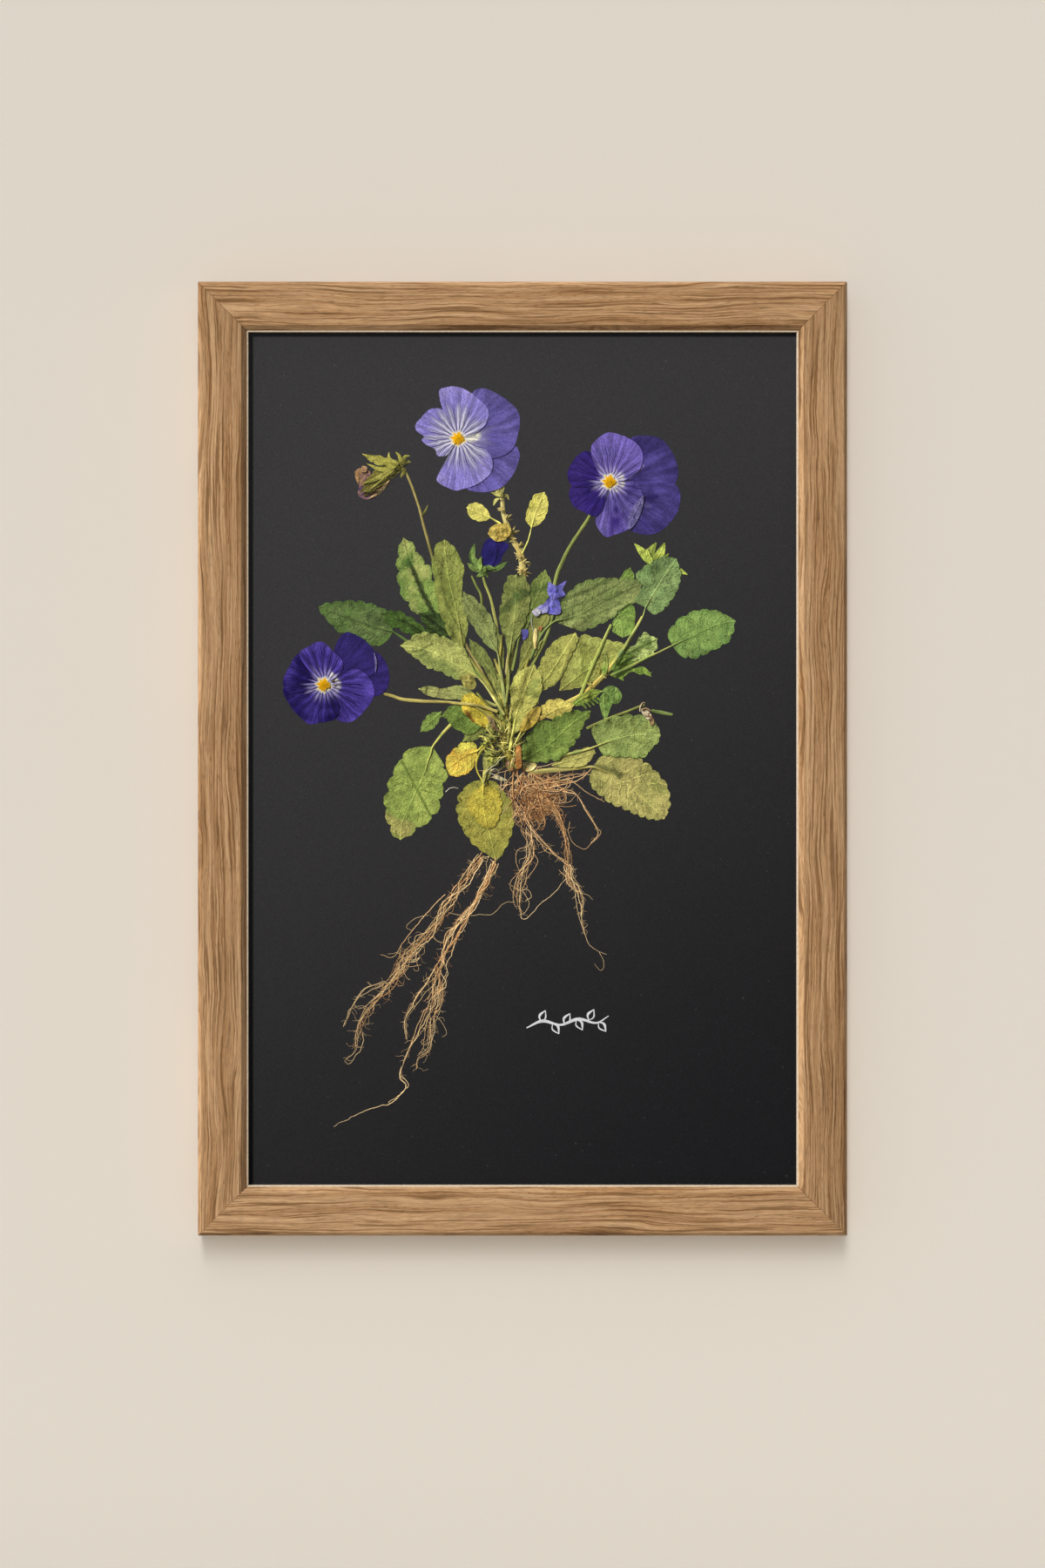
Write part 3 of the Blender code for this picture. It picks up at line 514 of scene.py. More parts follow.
def smooth(points, count):
    """A centripetal Catmull-Rom curve through the points, as so many evenly spaced points."""
    points = np.array(points, float)
    chain = np.vstack([2 * points[0] - points[1], points, 2 * points[-1] - points[-2]])
    knots = np.sqrt(np.linalg.norm(np.diff(chain, axis=0), axis=1)) + 1e-6
    share = np.linspace(0.0, 1.0, CURVE_STEPS)[:, None]
    runs = []
    for k in range(len(points) - 1):
        p0, p1, p2, p3 = chain[k : k + 4]
        t1 = knots[k]
        t2 = t1 + knots[k + 1]
        t3 = t2 + knots[k + 2]
        t = t1 + (t2 - t1) * share
        a1 = p0 * (t1 - t) / t1 + p1 * t / t1
        a2 = p1 * (t2 - t) / (t2 - t1) + p2 * (t - t1) / (t2 - t1)
        a3 = p2 * (t3 - t) / (t3 - t2) + p3 * (t - t2) / (t3 - t2)
        b1 = a1 * (t2 - t) / t2 + a2 * t / t2
        b2 = a2 * (t3 - t) / (t3 - t1) + a3 * (t - t1) / (t3 - t1)
        runs.append(b1 * (t2 - t) / (t2 - t1) + b2 * (t - t1) / (t2 - t1))
    return evenly(np.vstack(runs), count)


def sideways(path):
    """The unit direction to the left of the path at each of its points."""
    ahead = np.gradient(path, axis=0)
    across = np.column_stack([-ahead[:, 1], ahead[:, 0]])
    return across / np.maximum(np.linalg.norm(across, axis=1), 1e-9)[:, None]


def ease(value, low, high):
    """0 below low, 1 above high, and a smooth change between them."""
    share = np.clip((value - low) / (high - low), 0.0, 1.0)
    return share * share * (3 - 2 * share)


LATTICE = np.random.default_rng(11).random((97, 89))


def mottle(points, size, seed=0):
    """Smooth noise from 0 to 1 over the card, with patches of about this size."""
    u = points[..., 0] / size + 31.7 * seed + 500
    v = points[..., 1] / size + 17.3 * seed + 500
    i, j = np.floor(u).astype(int), np.floor(v).astype(int)
    a, b = ease(u - i, 0, 1), ease(v - j, 0, 1)
    rows, columns = LATTICE.shape

    def at(di, dj):
        return LATTICE[(i + di) % rows, (j + dj) % columns]

    return (at(0, 0) * (1 - a) + at(1, 0) * a) * (1 - b) + (at(0, 1) * (1 - a) + at(1, 1) * a) * b


def to_path(points, path):
    """The distance from each point to the nearest stretch of the path."""
    nearest = np.full(points.shape[:-1], 1e9)
    for start, end in zip(path, path[1:]):
        run = end - start
        share = np.clip(((points - start) @ run) / max(run @ run, 1e-9), 0.0, 1.0)
        apart = np.linalg.norm(points - start - share[..., None] * run, axis=-1)
        nearest = np.minimum(nearest, apart)
    return nearest


# ---------------------------------------------------------------- the pile of pressed pieces


def blur(values):
    """The mean of each cell and its neighbours, two cells each way."""
    for axis in (0, 1):
        values = sum(np.roll(values, step, axis) for step in range(-2, 3)) / 5
    return values


def widen(values, reach):
    """The highest value within so many cells of each cell."""
    for axis in (0, 1):
        values = np.max([np.roll(values, step, axis) for step in range(-reach, reach + 1)], axis=0)
    return values


def denser(grid, times):
    """A grid of values with so many steps for each one that it has."""
    for axis in (0, 1):
        count = grid.shape[axis]
        at = np.linspace(0, count - 1, (count - 1) * times + 1)
        low = np.minimum(at.astype(int), count - 2)
        shape = [1] * grid.ndim
        shape[axis] = len(at)
        share = (at - low).reshape(shape)
        grid = np.take(grid, low, axis) * (1 - share) + np.take(grid, low + 1, axis) * share
    return grid


class Pile:
    """How high the pressed plant stands over each cell of the card, in millimetres."""

    CELL = 0.4
    MARGIN = 12

    def __init__(self):
        rows = int(CARD_HEIGHT / self.CELL) + 2 * self.MARGIN
        columns = int(CARD_WIDTH / self.CELL) + 2 * self.MARGIN
        self.top = np.zeros((rows, columns))

    def cells(self, points):
        column = (points[..., 0] + CARD_WIDTH / 2) / self.CELL + self.MARGIN
        row = (points[..., 1] + CARD_HEIGHT / 2) / self.CELL + self.MARGIN
        return row, column

    def under(self, points):
        """The height of what lies under each point, or in a cell beside it."""
        row, column = (np.round(c).astype(int) for c in self.cells(points))
        found = np.zeros(row.shape)
        for i in (-1, 0, 1):
            for j in (-1, 0, 1):
                found = np.maximum(found, self.top[row + i, column + j])
        return found

    def settle(self, grid, rounds=9):
        """The heights at which a limp piece with these points lies on the pile, bridging its steps."""
        dense = denser(grid, 3)
        row, column = (np.round(c).astype(int) for c in self.cells(dense))
        low_row, low_column = row.min() - self.MARGIN, column.min() - self.MARGIN
        window = self.top[low_row : row.max() + self.MARGIN, low_column : column.max() + self.MARGIN]
        held = widen(window, 1)
        covered = np.zeros(window.shape)
        covered[row - low_row, column - low_column] = 1.0
        weight = blur(covered) + 1e-9
        lying = held.copy()
        for _ in range(rounds):
            lying = np.where(covered > 0, np.maximum(held, blur(lying * covered) / weight), lying)
        row, column = self.cells(grid)
        i, j = row.astype(int), column.astype(int)
        a, b = row - i, column - j
        i, j = i - low_row, j - low_column
        near = lying[i, j] * (1 - b) + lying[i, j + 1] * b
        far = lying[i + 1, j] * (1 - b) + lying[i + 1, j + 1] * b
        return near * (1 - a) + far * a

    def cover(self, grid, tops):
        """Raises the pile to a piece that now lies on it."""
        both = denser(np.dstack([grid, tops]), 3)
        row, column = (np.round(c).astype(int) for c in self.cells(both[..., :2]))
        np.maximum.at(self.top, (row, column), both[..., 2])


PILE = Pile()
CHANCE = np.random.default_rng(2024)


# ---------------------------------------------------------------- pieces made of sheets and fibres


class Piece:
    """One named object, gathered from sheets and fibres that are laid down one after another."""

    made = {}

    def __init__(self, name, *nodes, slot=None):
        self.name, self.nodes, self.slot = name, nodes, slot
        self.points, self.faces, self.skins, self.finishes = [], [], [], []
        self.tints, self.veins, self.rays = [], [], []
        self.count = 0
        Piece.made[name] = self

    def add(self, points, faces, finish, tint, vein=None, ray=None):
        """Takes points as (x, z, height), and faces as rows of four, or of three, point numbers."""
        if finish not in self.finishes:
            self.finishes.append(finish)
        number = len(points)
        self.points.append(points)
        self.faces.extend((np.array(faces) + self.count).tolist())
        self.skins.extend([self.finishes.index(finish)] * len(faces))
        self.tints.append(np.broadcast_to(tint, (number, 4)))
        self.veins.append(np.zeros((number, 3)) if vein is None else vein)
        self.rays.append(np.zeros((number, 3)) if ray is None else ray)
        self.count += number

    def build(self):
        points = np.vstack(self.points)
        height = points[:, 2]
        # The glass presses what stands high, so that nothing reaches it
        pressed = FREE_HEIGHT + SPARE_HEIGHT * (
            1 - np.exp(-np.maximum(height - FREE_HEIGHT, 0) / SPARE_HEIGHT)
        )
        height = np.where(height > FREE_HEIGHT, pressed, height)
        placed = np.column_stack(
            [CENTRE.x + points[:, 0] * MM, CARD_LOW.y - height * MM, CENTRE.z + points[:, 1] * MM]
        )
        mesh = bpy.data.meshes.new(self.name)
        mesh.from_pydata(placed.tolist(), [], self.faces)
        for finish in self.finishes:
            mesh.materials.append(FINISHES[finish])
        mesh.polygons.foreach_set("material_index", self.skins)
        tint = mesh.attributes.new("tint", "FLOAT_COLOR", "POINT")
        tints = np.vstack(self.tints) * (PLANT_GAIN, PLANT_GAIN, PLANT_GAIN, 1.0)
        tint.data.foreach_set("color", tints.ravel())
        for name, values in (("vein", self.veins), ("ray", self.rays)):
            stored = mesh.attributes.new(name, "FLOAT_VECTOR", "POINT")
            stored.data.foreach_set("vector", np.vstack(values).ravel())
        mesh.shade_smooth()
        mesh.set_sharp_from_angle(angle=SHEET_SHARP)
        obj = bpy.data.objects.new(self.name, mesh)
        bpy.context.scene.collection.objects.link(obj)
        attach(obj, "root")
        if self.nodes:
            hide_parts(*self.nodes)
        return obj


def sheet_faces(rows, columns, closed=False):
    """The faces of a solid sheet whose front grid of points is followed by its back one."""
    front = np.arange(rows * columns).reshape(rows, columns)
    back = front + rows * columns
    if closed:
        front = np.column_stack([front, front[:, :1]])
        back = np.column_stack([back, back[:, :1]])

    def strip(a, b):
        """Quads between two lines of points."""
        return np.column_stack([a[:-1], b[:-1], b[1:], a[1:]])

    faces = [strip(front[i], front[i + 1])[:, ::-1] for i in range(rows - 1)]
    faces += [strip(back[i], back[i + 1]) for i in range(rows - 1)]
    faces.append(strip(front[0], back[0]))
    faces.append(strip(back[-1], front[-1]))
    if not closed:
        faces.append(strip(back[:, 0], front[:, 0]))
        faces.append(strip(front[:, -1], back[:, -1]))
    return np.vstack(faces)


def volume(points, faces):
    """Six times the volume inside the faces, below zero if they point inwards."""
    a, b, c, d = (points[faces[:, k]] for k in range(4))
    return (np.cross(a, b) * c).sum() + (np.cross(a, c) * d).sum()


def lay(piece, grid, thick, relief, finish, tint, vein=None, ray=None, closed=False, rounds=9):
    """Lays a sheet on the pile: a grid of (x, z) points with its thickness and relief at each."""
    rows, columns = grid.shape[:2]
    thick = np.broadcast_to(thick, (rows, columns))
    relief = np.broadcast_to(relief, (rows, columns))
    bed = PILE.settle(grid, rounds) + CLEARANCE
    back = bed + relief * 0.9
    front = bed + relief + thick
    PILE.cover(grid, front)
    points = np.vstack([np.dstack([grid, front]).reshape(-1, 3), np.dstack([grid, back]).reshape(-1, 3)])
    faces = sheet_faces(rows, columns, closed)
    if volume(points, faces) < 0:
        faces = faces[:, ::-1]

    def both(values):
        return None if values is None else np.vstack([values.reshape(-1, values.shape[-1])] * 2)

    tint = np.broadcast_to(tint, (rows, columns, 4))
    piece.add(points, faces, finish, both(tint), both(vein), both(ray))


def coat(points, main, other, size, seed, share=0.5, alpha=0.5):
    """Two colours in patches of about this size, as a tint for each point."""
    patch = ease(0.6 * mottle(points, size, seed) + 0.4 * mottle(points, size * 0.37, seed + 3), 0.2, 0.85)
    blend = (patch * 2 * share).clip(0, 1)[..., None]
    colour = np.array(main[:3]) * (1 - blend) + np.array(other[:3]) * blend
    return np.dstack([colour, np.full(points.shape[:-1], alpha)])


def mark(tint, points, path, width, colour, strength=0.7, ragged=0.0, seed=5):
    """Stains the tint near a path, as a crease or a bruise does."""
    path = np.array(path, float)
    apart = to_path(points, smooth(path, 24) if len(path) > 2 else path)
    apart = apart * (1 + ragged * (mottle(points, max(width, 1.2), seed) - 0.5) * 2)
    share = (1 - ease(apart, width * 0.35, width))[..., None] * strength
    tint[..., :3] = tint[..., :3] * (1 - share) + np.array(colour[:3]) * share
    return tint


def stalk(piece, points, widths, main, other, deep=0.7, seed=1):
    """A flattened stalk through the points, its width changing evenly between the widths given."""
    steps = np.linalg.norm(np.diff(np.array(points, float), axis=0), axis=1).sum()
    rows = max(int(steps / 0.8), 5)
    path = smooth(points, rows)
    run = np.linspace(0, 1, rows)
    width = np.interp(run, np.linspace(0, 1, len(widths)), widths)
    width = width * (1 + 0.14 * (mottle(np.column_stack([run * steps, run * 0]), 2.6, seed) - 0.5))
    wobble = (mottle(np.column_stack([run * steps, run * 0 + 9]), 6.0, seed) - 0.5) * 0.35
    across = np.sin(np.linspace(-1, 1, 11) * math.pi / 2)
    shift = wobble[:, None] + across[None, :] * width[:, None] / 2
    grid = path[:, None, :] + sideways(path)[:, None, :] * shift[..., None]
    crown = np.sqrt(1 - 0.97 * across**2)[None, :] * np.minimum(deep, width * 0.62)[:, None]
    grooves = GROOVES * np.cos(across * 7 + seed)[None, :] * np.minimum(width, 2.5)[:, None] / 2.5
    thick = np.maximum(crown * (1 + grooves), 0.08)
    tint = coat(grid, main, other, 5.0, seed)
    number = np.broadcast_to(across[None, :] * width[:, None] / 2, grid.shape[:2])
    along = np.broadcast_to((run * steps)[:, None], grid.shape[:2])
    vein = np.dstack([number, along, np.full(grid.shape[:2], 3.7 * seed)])
    lay(piece, grid, thick, 0.0, "stalk", tint, vein=vein, rounds=5)


def leaf(
    piece, base, tip, one, two, main, other, mid=(), petiole=(), teeth=6, bite=0.9, veins=7, show=0.62,
    seed=1, curl=0.25, width=1.5, rim=None, stem=None, marks=(), rows=76, columns=27, crease=0.0,
):
    """A toothed blade between two edges that run from base to tip, with its midrib and petiole."""
    base, tip = np.array(base, float), np.array(tip, float)
    middle = smooth([base, *mid, tip], rows)
    edges = smooth([base, *one, tip], rows), smooth([base, *two, tip], rows)
    s = np.linspace(0.0, 1.0, rows)
    t = np.linspace(-1.0, 1.0, columns)
    t = np.sign(t) * np.abs(t) ** 0.9  # columns stand closer near the margins
    ends = np.sqrt(np.clip(np.minimum(s, 1 - s) * 14, 0, 1))[:, None]
    across = sideways(middle) * 0.35 * (1 - ends)
    grid = np.zeros((rows, columns, 2))
    half = np.zeros((rows, columns))
    for side, edge in zip((-1, 1), edges):
        reach = edge - middle
        facing = np.sign((reach * sideways(middle)).sum()) or 1.0
        reach = reach + facing * across
        long = np.linalg.norm(reach, axis=1)
        phase = (s - TOOTHED_FROM) / (1 - TOOTHED_FROM) * teeth + 0.13 * side + 0.4 * mottle(
            np.column_stack([s * teeth * 0.7, s * 0 + side]), 1.0, seed)
        # Each tooth swells and ends in a notch, and fine teeth ride on the large ones
        lobe = np.sqrt(np.clip(1 - (2 * (np.mod(phase, 1.0) ** 1.35) - 1) ** 2, 0, 1))
        uneven = 0.45 + 1.1 * mottle(np.column_stack([s * teeth, s * 0 + 5 * side]), 0.8, seed + 2)
        fine = np.abs(np.mod(phase * 2.7 + 0.3, 1.0) - 0.5) * 2
        cut = bite * (
            1.35 * (1 - lobe) * uneven + 0.28 * fine
        ) * ease(s, TOOTHED_FROM, TOOTHED_FROM + 0.1) * (1 - 0.5 * ease(s, 0.93, 1.0))
        cut = np.minimum(cut, long * 0.3)
        mine = (np.sign(t) == side) | ((t == 0) & (side == 1))
        size = np.abs(t[mine])[None, :]
        pull = 1 - (cut / np.maximum(long, 0.1))[:, None] * ease(size, 0.45, 1.0)
        grid[:, mine] = middle[:, None] + reach[:, None] * (size * pull)[..., None]
        half[:, mine] = long[:, None] * size
    blade_long = np.linalg.norm(np.diff(middle, axis=0), axis=1).sum()
    lean = s[:, None] * veins - np.abs(t)[None, :] ** 1.2 * 1.7 + np.where(t < 0, 0.5, 0.0)[None, :] + 50
    vein = np.dstack([lean, np.full(grid.shape[:2], veins / blade_long), half + 0.15])
    # The blade waves most at its margins, and the midrib stands up from it
    relief = curl * (0.35 + 0.65 * np.abs(t)[None, :]) * mottle(grid, 7.5, seed)
    relief = relief + 0.1 * mottle(grid, 2.2, seed + 1)
    relief = relief + 0.2 * np.exp(-((half / 0.5) ** 2)) * (1 - s[:, None]) ** 0.6
    if crease:
        relief = relief + crease * np.abs(mottle(grid, 3.4, seed + 7) - 0.5) * 2
    tint = coat(grid, main, other, 9.0, seed, alpha=show)
    worn = ease(np.abs(t), 0.8, 1.0)[None, :, None] * 0.55
    rim = np.array((rim or other)[:3])
    tint[..., :3] = tint[..., :3] * (1 - worn) + rim * worn
    for path, wide, colour, strength in marks:
        mark(tint, grid, path, wide, colour, strength, ragged=0.5, seed=seed)
    lay(piece, grid, BLADE_THICK, relief, "leaf", tint, vein=vein)
    if len(petiole):
        pale = stem or tuple(np.clip(np.array(main) * 1.25, 0, 1))
        into = middle[int(rows * 0.08)], middle[int(rows * 0.24)]
        points = [*reversed([np.array(p, float) for p in petiole]), base, *into]
        stalk(
            piece, points, [width * 0.9, width, width * 0.8, width * 0.5, 0.2], pale, main, deep=0.5,
            seed=seed,
        )


def petal(
    piece, finish, eye, outline, main, other, seed, show=1.0, rows=44, columns=64, beyond=0.0,
    marks=()
):
    """A petal that fans out from the eye to its outline. Its near end is beyond millimetres from an eye."""
    eye = np.array(eye, float)
    edge = smooth(outline, columns)
    turn = np.arctan2(edge[:, 1] - eye[1], edge[:, 0] - eye[0])
    ragged = 1 + 0.012 * np.sin(np.unwrap(turn) * 9 + seed) + 0.01 * (mottle(edge, 1.7, seed) - 0.5)
    s = np.linspace(PETAL_START, 1.0, rows)
    grid = eye + (edge - eye)[None] * (s[:, None] * ragged[None, :])[..., None]
    away = grid - eye
    reach = np.linalg.norm(away, axis=-1)
    ray = np.dstack([away / np.maximum(reach, 1e-6)[..., None], reach + beyond])
    fan = np.broadcast_to(np.unwrap(turn)[None, :] * VEINS_IN_A_TURN / math.tau, reach.shape)
    vein = np.dstack([fan + 40.0 + seed, VEINS_IN_A_TURN / (math.tau * (reach + 0.3)), reach * 0])
    folds = mottle(np.dstack([ray[..., 0] * 9 + 50, ray[..., 1] * 9 + 50 + reach * 0.02]), 1.0, seed)
    relief = 0.16 * folds * ease(reach, 1, 6) + PETAL_FRILL * s[:, None] ** 3 * mottle(grid, 4.0, seed + 2)
    tint = coat(grid, main, other, 8.0, seed, alpha=show)
    for path, wide, colour, strength in marks:
        mark(tint, grid, path, wide, colour, strength, ragged=0.4, seed=seed)
    lay(piece, grid, PETAL_THICK, relief, finish, tint, vein=vein, ray=ray)


def disc(piece, finish, eye, radius, deep, tint, rows=7, columns=24):
    """A small rounded button, such as the throat of a flower."""
    turn = np.linspace(0, math.tau, columns, endpoint=False)
    s = np.linspace(0.06, 1.0, rows)
    bumps = 1 + 0.12 * np.sin(turn * 5 + radius) + 0.07 * np.sin(turn * 8)
    x = s[:, None] * (np.cos(turn) * bumps)[None, :] * radius
    z = s[:, None] * (np.sin(turn) * bumps)[None, :] * radius
    grid = np.dstack([x, z]) + np.array(eye)
    away = grid - np.array(eye)
    reach = np.linalg.norm(away, axis=-1)
    ray = np.dstack([away / np.maximum(reach, 1e-6)[..., None], reach])
    vein = np.dstack([reach * 0, reach * 0 + 1, reach * 0])
    thick = deep * np.sqrt(1.02 - s**2)[:, None] * (0.8 + 0.4 * mottle(grid, 0.7, 3)) + 0.06
    lay(piece, grid, thick, 0.0, finish, np.broadcast_to(tint, (*grid.shape[:2], 4)), vein=vein, ray=ray,
        closed=True, rounds=3)


def fibre(piece, path, radii, tint, lift=0.0, sides=5, finish="root"):
    """A fine round strand that lies on what is under it. lift is its extra height at each point."""
    path = np.array(path, float)
    rows = len(path)
    radius = np.interp(np.linspace(0, 1, rows), np.linspace(0, 1, len(radii)), radii)
    height = PILE.under(path) + CLEARANCE + radius + lift
    for _ in range(2):  # a strand bridges small gaps
        padded = np.concatenate([height[:1], height, height[-1:]])
        height = np.maximum(height, (padded[:-2] + padded[1:-1] + padded[2:]) / 3)
    across = sideways(path)
    turn = np.linspace(0, math.tau, sides, endpoint=False)
    ring = radius[:, None, None] * np.dstack(
        [np.cos(turn)[None].repeat(rows, 0), np.sin(turn)[None].repeat(rows, 0)]
    )
    flat = path[:, None, :] + across[:, None, :] * ring[..., :1]
    points = np.dstack([flat, height[:, None] + ring[..., 1]]).reshape(-1, 3)
    number = np.arange(rows * sides).reshape(rows, sides)
    number = np.column_stack([number, number[:, :1]])
    near, far = number[:-1], number[1:]
    quads = np.dstack([near[:, :-1], near[:, 1:], far[:, 1:], far[:, :-1]]).reshape(-1, 4)
    piece.add(points, quads, finish, tint)
    caps = [number[0, :-1][::-1].tolist(), number[-1, :-1].tolist()]
    start = piece.count - len(points)
    piece.faces.extend([[start + k for k in cap] for cap in caps])
    piece.skins.extend([piece.finishes.index(finish)] * 2)


def wander(start, heading, length, bend, step=0.9):
    """A random curly path of this length: bend is how fast it turns."""
    count = max(int(length / step), 4)
    turn = np.cumsum(np.cumsum(CHANCE.normal(0, bend * 0.35, count)) * 0.25 + CHANCE.normal(0, bend, count))
    angle = heading + turn
    steps = np.column_stack([np.cos(angle), np.sin(angle)]) * step
    return np.vstack([[start], np.array(start) + np.cumsum(steps, axis=0)])


# ---------------------------------------------------------------- the frame and what it holds


def rounded(section, radius):
    """The section with its corners cut round."""
    made = []
    count = len(section)
    for k in range(count):
        here = Vector(section[k])
        before = (Vector(section[k - 1]) - here).normalized()
        after = (Vector(section[(k + 1) % count]) - here).normalized()
        for share in (0.0, 0.5, 1.0):
            pull = radius * (1 - 0.55 * math.sin(math.pi * share))
            made.append(here + before * pull * (1 - share) + after * pull * share)
    return made


def inset(section, depth):
    """The section drawn in by a depth on every side. It runs clockwise."""
    made = []
    count = len(section)
    for k in range(count):
        along = (section[(k + 1) % count] - section[k - 1]).normalized()
        made.append(section[k] + Vector((along.y, -along.x)) * depth)
    return made


def build_rails():
    """The mitred rails, with their long edges and their joints softened by a hair."""
    low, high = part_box("rail_top")[0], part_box("rail_top")[1]
    deep = (high.y - low.y) / MM
    wide = (high.z - low.z) / MM
    ledge = deep - INNER_CHAMFER
    section = [
        (0.0, 0.0),
        (0.0, deep - OUTER_CHAMFER),
        (OUTER_CHAMFER, deep),
        (wide - LEDGE - INNER_CHAMFER, deep),
        (wide - LEDGE, ledge),
        (wide, ledge),
        (wide, RABBET_DEPTH),
        (wide - RABBET_WIDTH, RABBET_DEPTH),
        (wide - RABBET_WIDTH, 0.0),
    ]
    full = rounded(section, SOFTENED)
    drawn_in = inset(full, DRAWN_IN)
    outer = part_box("rail_right")[1].x / MM, (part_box("rail_top")[1].z - CENTRE.z) / MM
    runs = {"rail_top": (0, 1), "rail_bottom": (0, -1), "rail_left": (-1, 0), "rail_right": (1, 0)}
    slip = slip_finish()
    for number, (name, side) in enumerate(runs.items()):
        along = Vector((side[1], -side[0]))
        reach, half = (outer[0], outer[1]) if side[0] else (outer[1], outer[0])
        points, faces, skins = [], [], []
        for end, ring, back in (
            (-1, drawn_in, 0.0), (-1, full, DRAWN_IN), (1, full, DRAWN_IN), (1, drawn_in, 0.0),
        ):
            for inward, outward in ring:
                run = end * (half - inward - JOINT_GAP - back)
                x = side[0] * (reach - inward) + along.x * run
                z = side[1] * (reach - inward) + along.y * run
                points.append((x * MM, BACK_Y - outward * MM, CENTRE.z + z * MM))
        size = len(full)
        for step in range(3):
            for k in range(size):
                after = (k + 1) % size
                faces.append(
                    (step * size + k, step * size + after, (step + 1) * size + after, (step + 1) * size + k)
                )
                skins.append(1 if k in SLIP_EDGES else 0)
        faces += [tuple(reversed(range(size))), tuple(range(3 * size, 4 * size))]
        skins += [0, 0]
        mesh = bpy.data.meshes.new("oak_" + name)
        mesh.from_pydata(points, [], faces)
        run_axis = "Z" if side[0] else "X"
        mesh.materials.append(oak_finish("oak_" + name, run_axis, (37.0 * number, 5.0, 61.0 * number)))
        mesh.materials.append(slip)
        mesh.polygons.foreach_set("material_index", skins)
        bm = bmesh.new()
        bm.from_mesh(mesh)
        bmesh.ops.recalc_face_normals(bm, faces=bm.faces)
        bm.to_mesh(mesh)
        bm.free()
        mesh.shade_smooth()
        mesh.set_sharp_from_angle(angle=RAIL_SHARP)
        obj = bpy.data.objects.new("oak_" + name, mesh)
        bpy.context.scene.collection.objects.link(obj)
        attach(obj, "root")
        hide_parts(name)


def finish_node(name, material):
    """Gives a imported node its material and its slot, and leaves its mesh as it is."""
    obj = frame["nodes"][name]
    obj.data.materials.clear()
    obj.data.materials.append(material)
    return obj


def finish_frame_nodes():
    """The glass, the boards and the metal parts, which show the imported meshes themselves."""
    glass = finish_node("glass_pane", glass_finish())
    glass.visible_shadow = False
    finish_node("mount_card", card_finish())
    finish_node("backing_board", board_finish())
    spacer = spacer_finish()
    for side in ("top", "bottom", "left", "right"):
        finish_node("spacer_" + side, spacer)
    steel = metal_finish("bright_steel", tone(196, 194, 188), tone(150, 147, 140))
    for number in range(1, 7):
        finish_node(f"flex_point_{number}", steel)
    for side in ("left", "right"):
        finish_node("hanger_nail_" + side, steel)
    brass = metal_finish("brassed_steel", tone(214, 184, 118), tone(168, 138, 84))
    finish_node("hanger_plate", brass)


# ---------------------------------------------------------------- the view, the light and the stage


def build_camera():
    """Level, square to the wall and a little below the frame's centre."""
    data = bpy.data.cameras.new("camera")
    data.sensor_width = SENSOR
    data.lens = SENSOR * VIEW_DISTANCE / VIEW_HEIGHT
    camera = bpy.data.objects.new("camera", data)
    camera.location = (CENTRE.x, FRONT_Y - VIEW_DISTANCE, CENTRE.z - VIEW_BELOW_CENTRE)
    camera.rotation_euler = (math.pi / 2, 0.0, 0.0)
    bpy.context.scene.collection.objects.link(camera)
    bpy.context.scene.camera = camera


def add_sun(name, towards, strength, spread, receivers):
    """A soft distant lamp that stands in the direction towards and lights the receivers alone."""
    data = bpy.data.lights.new(name, "SUN")
    data.energy = strength
    data.angle = math.radians(spread)
    lamp = bpy.data.objects.new(name, data)
    lamp.rotation_mode = "QUATERNION"
    lamp.rotation_quaternion = Vector(towards).to_track_quat("Z", "Y")
    bpy.context.scene.collection.objects.link(lamp)
    lamp.visible_glossy = False
    lamp.light_linking.receiver_collection = receivers


def build_lights(stage):
    """A tall soft window in front of the wall, and lamps of their own for the card and for the object."""
    room = bpy.data.collections.new("room_receivers")
    for plane in stage:
        room.objects.link(plane)
    card = bpy.data.collections.new("card_receivers")
    card.objects.link(frame["nodes"]["mount_card"])
    piece = bpy.data.collections.new("object_receivers")
    for obj in bpy.context.scene.objects:
        if obj.type == "MESH" and obj not in stage and obj.name not in LIT_APART:
            piece.objects.link(obj)
    for height, share in WINDOW_SHARES:
        lift = math.radians(height)
        strength = share * FULL_LIGHT / math.cos(lift)
        towards = (-WINDOW_LEFT, -math.cos(lift), math.sin(lift))
        add_sun(f"window_{height}", towards, strength, WINDOW_SPREAD, room)
    # A strength is divided by how squarely its lamp meets the face that it is meant for
    for name, towards, strength, spread, receivers in (
        ("room_fill", (-0.02, -1.0, -0.03), 0.135 * FULL_LIGHT, 4, room),
        ("key", (-0.6, -0.6, 0.53), FRONT_SHARE * FULL_LIGHT / 0.6, 16, piece),
        ("card_light", (-0.16, -1.0, 0.12), FRONT_SHARE * FULL_LIGHT, 5, card),
        ("rim", (-0.86, -0.16, 0.48), 0.07 * FULL_LIGHT / 0.16, 14, piece),
        ("front_fill", (0.1, -1.0, -0.1), 0.03 * FULL_LIGHT, 20, piece),
        ("right_fill", (0.8, 0.52, 0.28), 0.75, 40, piece),
        ("back_light", (-0.4, 0.8, 0.42), 1.35, 40, piece),
    ):
        add_sun(name, towards, strength, spread, receivers)


